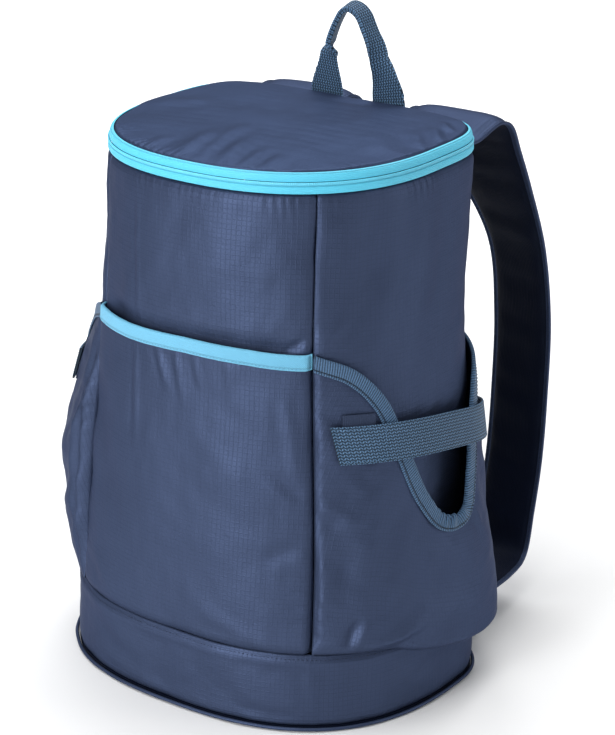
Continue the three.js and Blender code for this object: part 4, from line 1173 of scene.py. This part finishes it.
def build_side_pockets():
    """Open pockets between the side seams: straight lines from a sagging foot to the U-shaped mouth."""
    count = 180
    line, _, wide = mouth_line(count)
    share = np.linspace(0, 1, count)
    foot = mm("body", "base_seam") + GAP - mm("pockets", "sag") * read(SAGS, "along", "sag", share)
    row = np.concatenate([np.linspace(0, 0.07, 12), np.linspace(0.08, 1, 88)])[None, :]
    mouth_along = np.clip(line[:, 0] / wide, 0, 1)
    along = share[:, None] + (mouth_along - share)[:, None] * row
    up = foot[:, None] + (line[:, 1] - foot)[:, None] * row
    width = mm("pockets", "binding")
    for side, word in ((1, "right"), (-1, "left")):
        full = side_outset(side, along, up)
        near_edge = (1 - row) * (line[:, 1] - foot)[:, None]
        relief = side_folds(side, along, up) * smooth(2, 22, near_edge) * smooth(0, 0.08, row)
        tuck = np.sqrt(1 - (1 - np.clip(row / 0.06, 0, 1)) ** 2)
        extra = relief + (0.9 - full) * (1 - tuck)
        points = side_point(side, along, up, extra)
        if side < 0:
            points = points[::-1]
        name, rests_on = f"side_pocket_cloth_{word}", [f"side_wall_{word}", "foot_band"]
        pocket_cloth(name, points, f"side_pocket_{word}")
        build_side_tape(side, word, width)


def build_side_tape(side, word, width):
    """The dark tape round the U. It is drawn together at the bottom, so its inner edge ruffles there."""
    count = 520
    line, run, wide = mouth_line(count)
    profile = tape_profile(width)
    level = line[:, 1] / mm("pockets", "mouth")
    gather = bell((line[:, 0] / wide - 0.545) / 0.075) * smooth(0.66, 0.6, level)
    s = run_of(line)
    ruffle = np.sin(s * FULL_TURN / 8.0 + 2.2 * ripple(s, s * 0, 95, 26)) * gather
    across = profile[None, :, 0] + ruffle[:, None] * 1.7 * (profile[None, :, 0] > -2)
    lift = profile[None, :, 1] * (1 + 0.1 * ruffle[:, None])
    lift = lift + ruffle[:, None] * 1.3 * smooth(-width, 0, profile[None, :, 0])
    along = np.clip((line[:, :1] - run[:, 1:] * across) / wide, 0, 1)
    up = line[:, 1:] + run[:, :1] * across
    tape = side_point(side, along, up, lift + 0.1)
    uv = tape_places(tape, profile)
    mesh = band_mesh(f"side_tape_{word}", tape, uv=uv)
    piece(f"side_tape_{word}", mesh, cloth("dark_tape"), [f"side_pocket_binding_{word}"])
    inset = -width + 1.4
    row_along = np.clip((line[:, 0] - run[:, 1] * inset) / wide, 0, 1)
    row_up = line[:, 1] + run[:, 0] * inset
    path = side_point(side, row_along, row_up, 1.75)[6:-6]
    out = path - side_point(side, row_along, row_up, -2.0)[6:-6]
    stitches(f"side_tape_stitches_{word}", path, out, cloth("thread"), "dark_binding", **TAPE_STITCH)


def strap_level(along):
    """Height of a side strap's middle, falling with the square of the way round."""
    return mm("pockets", "mouth") * (0.777 - 0.12 * along**2)


def side_band(name, side, span, size, outset, rise, material, slant=0.0):
    """A flat band over a side pocket, following its surface; its front end is cut at a slant."""
    (start, end), (width, thick) = span, size
    share = np.linspace(0, 1, 110)[:, None]
    profile = band_profile(width, thick)
    along = start + (end - start) * share + slant * (0.5 - profile[None, :, 0] / width) * (1 - share)
    level = strap_level(along) + rise + profile[None, :, 0]
    points = side_point(side, along, level, outset + thick / 2 + profile[None, :, 1])
    loop = np.vstack([profile, profile[:1]])
    uv = np.stack(np.broadcast_arrays(run_of(loop)[None, :], run_of(points[:, 0])[:, None]), -1)
    word = "right" if side > 0 else "left"
    mesh = band_mesh(f"{name}_{word}", points, uv=uv)
    piece(mesh.name, mesh, material, [f"{NODES[name]}_{word}"])


def build_side_straps():
    """The webbing over each side pocket, the grip pad under its front end and its box of stitches."""
    size = width, thick = mm("webbing", "width"), mm("webbing", "thickness")
    for side, word, start, pad, box in SIDE_STRAPS:
        span = (start, 0.98)
        side_band("side_webbing", side, span, size, STRAP_LIFT, 0, cloth("webbing"), SLANT)
        side_band("grip_pad", side, pad, GRIP_PAD, 0.6, 4.5, cloth("pad"))
        edge = width / 2 - 1.8
        low, high = box
        tall = np.linspace(-edge, edge, 30)
        rows = [
            (np.linspace(low, high, 60), np.full(60, edge)),
            (np.linspace(low + SLANT, high, 50), np.full(50, -edge)),
            (low + 0.004 + SLANT * (0.5 - tall / width), tall),
            (np.full(30, high), tall),
        ]
        for number, (along, across) in enumerate(rows):
            level = strap_level(along) + across
            path = side_point(side, along, level, STRAP_LIFT + thick + 0.15)
            out = path - side_point(side, along, level, 0.0)
            name = f"side_webbing_stitches_{word}_{number}"
            stitches(name, path, out, cloth("web_thread"), "webbing", pitch=2.4, size=1.7, thick=0.8)


def build_haul_loop():
    """Webbing in a tall arch. Flat at its feet, its outer half is folded behind its inner half along a
    slanting crease, and then it turns a quarter round, so that at the top its back face looks down
    into the arch."""
    span, rise = mm("webbing", "loop_span"), mm("webbing", "loop_rise")
    width, thick = mm("webbing", "width"), mm("webbing", "thickness")
    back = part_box("haul_loop")[0][1] / MM + thick / 2 + 0.05
    top = form.rim + LID_SEAT
    x, up = LOOP_PATH["across"] * span, LOOP_PATH["up"]
    knots = np.stack([x, up * 0 + back, form.rim + up * rise], -1)
    feet = np.array([(knots[0, 0], back, top - 4), (knots[-1, 0], back, top - 4)])
    path = through(np.vstack([feet[:1], knots, feet[1:]]), 240)
    tangent = unit(np.gradient(path, axis=0))
    inward = np.stack([tangent[:, 2], tangent[:, 1] * 0, -tangent[:, 0]], -1)
    level = (path[:, 2] - form.rim)[:, None] / rise
    right_leg = smooth(-5, 5, path[:, :1])
    crease = smooth(0.2, 0.6 + 0.04 * right_leg, level) - 1
    twist = np.radians(78) * smooth(0.56 - 0.2 * right_leg, 0.71 + 0.15 * right_leg, level)
    behind = np.array([[0.0, 1.0, 0.0]])
    side = np.cos(twist) * inward - np.sin(twist) * behind
    out = np.cos(twist) * behind + np.sin(twist) * inward
    u = np.linspace(-1, 1, 49)[None, :]
    half = width / 2
    past = crease - u
    across = (np.where(past > 0, 2 * crease - u, u) - (1 + crease) / 2) * half
    lift = np.clip(past / 0.14, 0, 1) * (thick + 0.3)
    middle = path[:, None] + side[:, None] * across[..., None] + out[:, None] * lift[..., None]
    normal = normals(middle)
    ring = np.concatenate([middle + normal * thick / 2, (middle - normal * thick / 2)[:, ::-1]], axis=1)
    v = run_of(path)
    flat_u = (u[0] + 1) * half
    places = np.concatenate([flat_u, flat_u[::-1], flat_u[:1]])
    uv = np.stack(np.broadcast_arrays(places[None, :], v[:, None]), -1)
    mesh = band_mesh("haul_loop_webbing", ring, uv=uv)
    piece("haul_loop_webbing", mesh, cloth("webbing"), ["haul_loop"])


def back_face(x, up):
    """How far back the pack's flat back lies at one place across it."""
    around = 1 - np.abs(x) / 420.0
    return form.point(np.array([around]), np.array([up]))[0, 1]


def strap_line(side, across, count):
    """The strap's run at one place across it, square to the back at both sewn ends."""
    wide, top = mm("webbing", "strap_width"), mm("webbing", "strap_top")
    level = STRAP_PATH["up"]
    spread = smooth(0.72, 1, level)
    inner, outer = mm("webbing", "strap_top_place"), mm("webbing", "strap_place")
    middle = outer + (inner - outer) * spread + STRAP_PATH["out"] * wide
    x = side * (middle + across * (wide + (top - wide) * spread))
    y = mm("body", "back_depth") + STRAP_PATH["back"] * mm("webbing", "strap_reach")
    free = np.stack([x, y, level * form.rim], -1)
    ends = []
    for x_end, z_end in ((side * (inner + across * top), form.rim - 1.1), (free[-1, 0], free[-1, 2])):
        face = back_face(x_end, z_end) + 1.2
        ends.append([(x_end, face, z_end), (x_end, face + 9, z_end)])
    return through(np.vstack([ends[0], free, ends[1][::-1]]), count)


def build_shoulder_straps():
    """Padded straps: a fat middle between flat sewn edges, with level creases where they bend."""
    across = np.concatenate([[-0.5, -0.47, -0.44], np.linspace(-0.41, 0.41, 19), [0.44, 0.47, 0.5]])
    count = 240
    for side, word in ((1, "right"), (-1, "left")):
        middle = np.stack([strap_line(side, a, count) for a in across], 1)
        run = np.linspace(0, 1, count)[:, None]
        core = np.sqrt(np.maximum(1 - (np.abs(across) / 0.435) ** 4, 0))[None, :]
        swell = core * smooth(0, 0.03, np.minimum(run, 1 - run))
        thick = STRAP_EDGE + (mm("webbing", "strap_padding") - STRAP_EDGE) * swell
        s, wide = run * STRAP_RUN, across[None, :]
        level = ripple(s, wide * 30, 51 + side, 46) + 0.6 * ripple(s, wide * 12, 53 + side, 19)
        crease = -1.6 * bell((s - 46) / 5) - 1.3 * bell((s - 66 - wide * 10) / 4) - 0.9 * bell((s - 440) / 7)
        normal = normals(middle)
        face = middle + normal * (thick / 2 + (0.7 * level + crease) * core * 0.6)[..., None]
        rear = middle - normal * (thick / 2 - (0.5 * level) * core * 0.5)[..., None]
        ring = np.concatenate([face, rear[:, ::-1]], axis=1)
        marks = np.zeros(ring.shape[:2], int)
        half = len(across)
        behind = normal[count // 2, half // 2, 1] > 0
        inner = slice(half + 3, 2 * half - 3) if behind else slice(3, half - 3)
        marks[:, inner] = 1
        mesh = band_mesh(f"shoulder_pad_{word}", ring, second=marks)
        faces, node = [cloth("ripstop"), cloth("dark")], f"shoulder_strap_{word}"
        piece(f"shoulder_pad_{word}", mesh, faces, [node])
        for edge, index in (("outer", 1), ("inner", len(across) - 2)):
            for face_name, sign in (("back", 1), ("front", -1)):
                out = sign * normal[8:-8, index]
                path = middle[8:-8, index] + out * 1.15
                name = f"shoulder_stitches_{word}_{edge}_{face_name}"
                stitches(name, path, out, cloth("thread"), "strap_cloth", pitch=3.6, size=2.6)
        build_tab(side, word)


def build_tab(side, word):
    """A small folded webbing triangle in the back seam, its rows drawn out to a blunt point."""
    corner = np.array([(9.0, 0.4), (25.5, 0.4), (14.8, 21.4), (11.0, 17.2)])
    loop = evenly_along(np.vstack([corner, corner[:1]]), np.linspace(0, 1, 33))[:-1]
    middle = loop.mean(axis=0)
    inset = np.array([0.0, 0.55, 0.9, 1.0, 1.0, 0.9, 0.55, 0.0])
    lift = np.array([-2.0, -2.0, -1.6, -0.7, 0.7, 1.6, 2.0, 2.0])
    share = 0.35 + 0.65 * inset
    rings = middle + (loop[None] - middle) * share[:, None, None]
    around = 0.715 + np.broadcast_to(lift[:, None] / 440.0, rings.shape[:2])
    points = form.point(side * around, rings[..., 0], rings[..., 1])
    name = f"strap_tab_webbing_{word}"
    piece(name, band_mesh(name, points), cloth("dark_tape"), [f"strap_tab_{word}"])


def build_stitching():
    """The seam row just under the base seam."""
    ring = np.linspace(-0.745, 0.745, 900)
    level = np.full(ring.shape, mm("body", "base_seam") - 4.0)
    relief = folds(BASE_FOLDS, ring, level) + 0.3 * ripple(ring * 400, level, 31, 44)
    path = form.point(ring, level, relief + 0.25)
    out = path - form.point(ring, level, relief - 4)
    stitches("foot_seam_stitches", path, out, cloth("thread"), "ripstop", pitch=3.2, size=2.3, thick=0.5)


# Studio


def area_light(name, place, aim, size, power, spread=180):
    """A rectangular light at a place, turned to its aim."""
    data = bpy.data.lights.new(name, "AREA")
    data.shape, data.energy, data.spread = "RECTANGLE", power, np.radians(spread)
    data.size, data.size_y = size
    obj = bpy.data.objects.new(name, data)
    obj.location = place
    obj.rotation_euler = (mathutils.Vector(aim) - mathutils.Vector(place)).to_track_quat("-Z", "Y").to_euler()
    bpy.context.scene.collection.objects.link(obj)


def build_stage():
    """A wide pale floor, three large soft lights, a white surround and the photograph's camera."""
    scene = bpy.context.scene
    studio = scene.cooler_studio
    mesh = bpy.data.meshes.new("studio_floor")
    reach = 9.0
    corners = [(-reach, -reach, 0), (reach, -reach, 0), (reach, reach, 0), (-reach, reach, 0)]
    mesh.from_pydata(corners, [], [(0, 1, 2, 3)])
    floor = bpy.data.objects.new("studio_floor", mesh)
    scene.collection.objects.link(floor)
    finish = Finish("studio_floor", 0.9)
    where, _, _ = finish.place("Object")
    haze = finish.noise(where, 900.0)
    pale = finish.blend(haze, tint("floor"), shade(tint("floor"), 1.02))
    mesh.materials.append(finish.finish(pale, haze, 0.01))
    area_light("key_light", (-0.22, -2.26, 0.75), (0, 0, 0.3), (0.7, 1.5), studio.key)
    area_light("side_light", (1.9, 1.0, 0.95), (0, 0, 0.3), (0.9, 1.9), studio.fill)
    area_light("top_light", (-0.2, -0.3, 2.5), (0, 0, 0.3), (2.0, 2.0), studio.top)
    area_light("back_light", (-1.6, 2.6, 2.4), (-1.4, 1.9, 0), (3.0, 3.0), studio.back, spread=100)
    world = bpy.data.worlds.new("surround")
    world.use_nodes = True
    background = world.node_tree.nodes["Background"]
    background.inputs["Color"].default_value = (1, 1, 1, 1)
    background.inputs["Strength"].default_value = studio.sky
    scene.world = world
    scene.view_settings.view_transform = "Standard"
    data = bpy.data.cameras.new("photo_camera")
    data.lens = studio.lens / MM
    data.sensor_width = 36.0
    data.clip_start, data.clip_end = 0.05, 60.0
    camera = bpy.data.objects.new("photo_camera", data)
    right = (0.81805478, 0.5751196, 0.00488161)
    up = (-0.21170554, 0.29321822, 0.93231102)
    ahead = (-0.53475896, 0.76371495, -0.36162457)
    turn = mathutils.Matrix((right, up, [-v for v in ahead])).transposed()
    camera.matrix_world = mathutils.Matrix.Translation((0.94729766, -1.32707825, 0.85513963)) @ turn.to_4x4()
    scene.collection.objects.link(camera)
    scene.camera = camera


# Operators


def operator(idname, label, about, job):
    """An operator class that runs one job; a job that fails raises."""

    def execute(self, context):
        global form
        if form is None:
            form = BodyForm()
        job()
        return {"FINISHED"}

    body = {"bl_idname": idname, "bl_label": label, "bl_options": {"REGISTER"}}
    body |= {"__doc__": about, "execute": execute}
    return type("COOLER_OT_" + idname.split(".")[1], (bpy.types.Operator,), body)


OPERATORS = [
    operator("cooler.stage", "Studio", "Floor, lights and camera", build_stage),
    operator("cooler.walls", "Padded walls", "Front and side walls", build_walls),
    operator("cooler.back", "Back", "Padded back", build_back),
    operator("cooler.base", "Foot", "Foot band, bottom and piping", build_base),
    operator("cooler.lid", "Lid", "Domed lid", build_lid),
    operator("cooler.zip", "Zip", "Zip tapes, coil and slider finish", build_zip),
    operator("cooler.front_pocket", "Front pocket", "Front pocket and its edge tape", build_front_pocket),
    operator("cooler.side_pockets", "Side pockets", "Side pockets and their edge tapes", build_side_pockets),
    operator("cooler.side_straps", "Side straps", "Webbing and grip pads on the sides", build_side_straps),
    operator("cooler.haul_loop", "Haul loop", "Folded webbing loop", build_haul_loop),
    operator("cooler.shoulder_straps", "Shoulder straps", "Padded straps and tabs", build_shoulder_straps),
    operator("cooler.stitching", "Foot seam", "Stitches round the foot", build_stitching),
]


class COOLER_PT_parts(bpy.types.Panel):
    """Lists the pack's pieces and their values"""

    bl_label = "Cooler backpack"
    bl_space_type = "VIEW_3D"
    bl_region_type = "UI"
    bl_category = "Cooler backpack"

    def draw(self, context):
        for item in OPERATORS:
            self.layout.operator(item.bl_idname)
        for group in GROUPS:
            box = self.layout.box()
            values = getattr(context.scene, group)
            for name in GROUPS[group].__annotations__:
                box.prop(values, name)


def register():
    for item in [*GROUPS.values(), *OPERATORS, COOLER_PT_parts]:
        bpy.utils.register_class(item)
    for name, group in GROUPS.items():
        setattr(bpy.types.Scene, name, PointerProperty(type=group))


def unregister():
    for name in GROUPS:
        delattr(bpy.types.Scene, name)
    for item in reversed([*GROUPS.values(), *OPERATORS, COOLER_PT_parts]):
        bpy.utils.unregister_class(item)


def main():
    register()
    for item in OPERATORS:
        space, name = item.bl_idname.split(".")
        getattr(getattr(bpy.ops, space), name)()


if __name__ == "__main__":
    main()
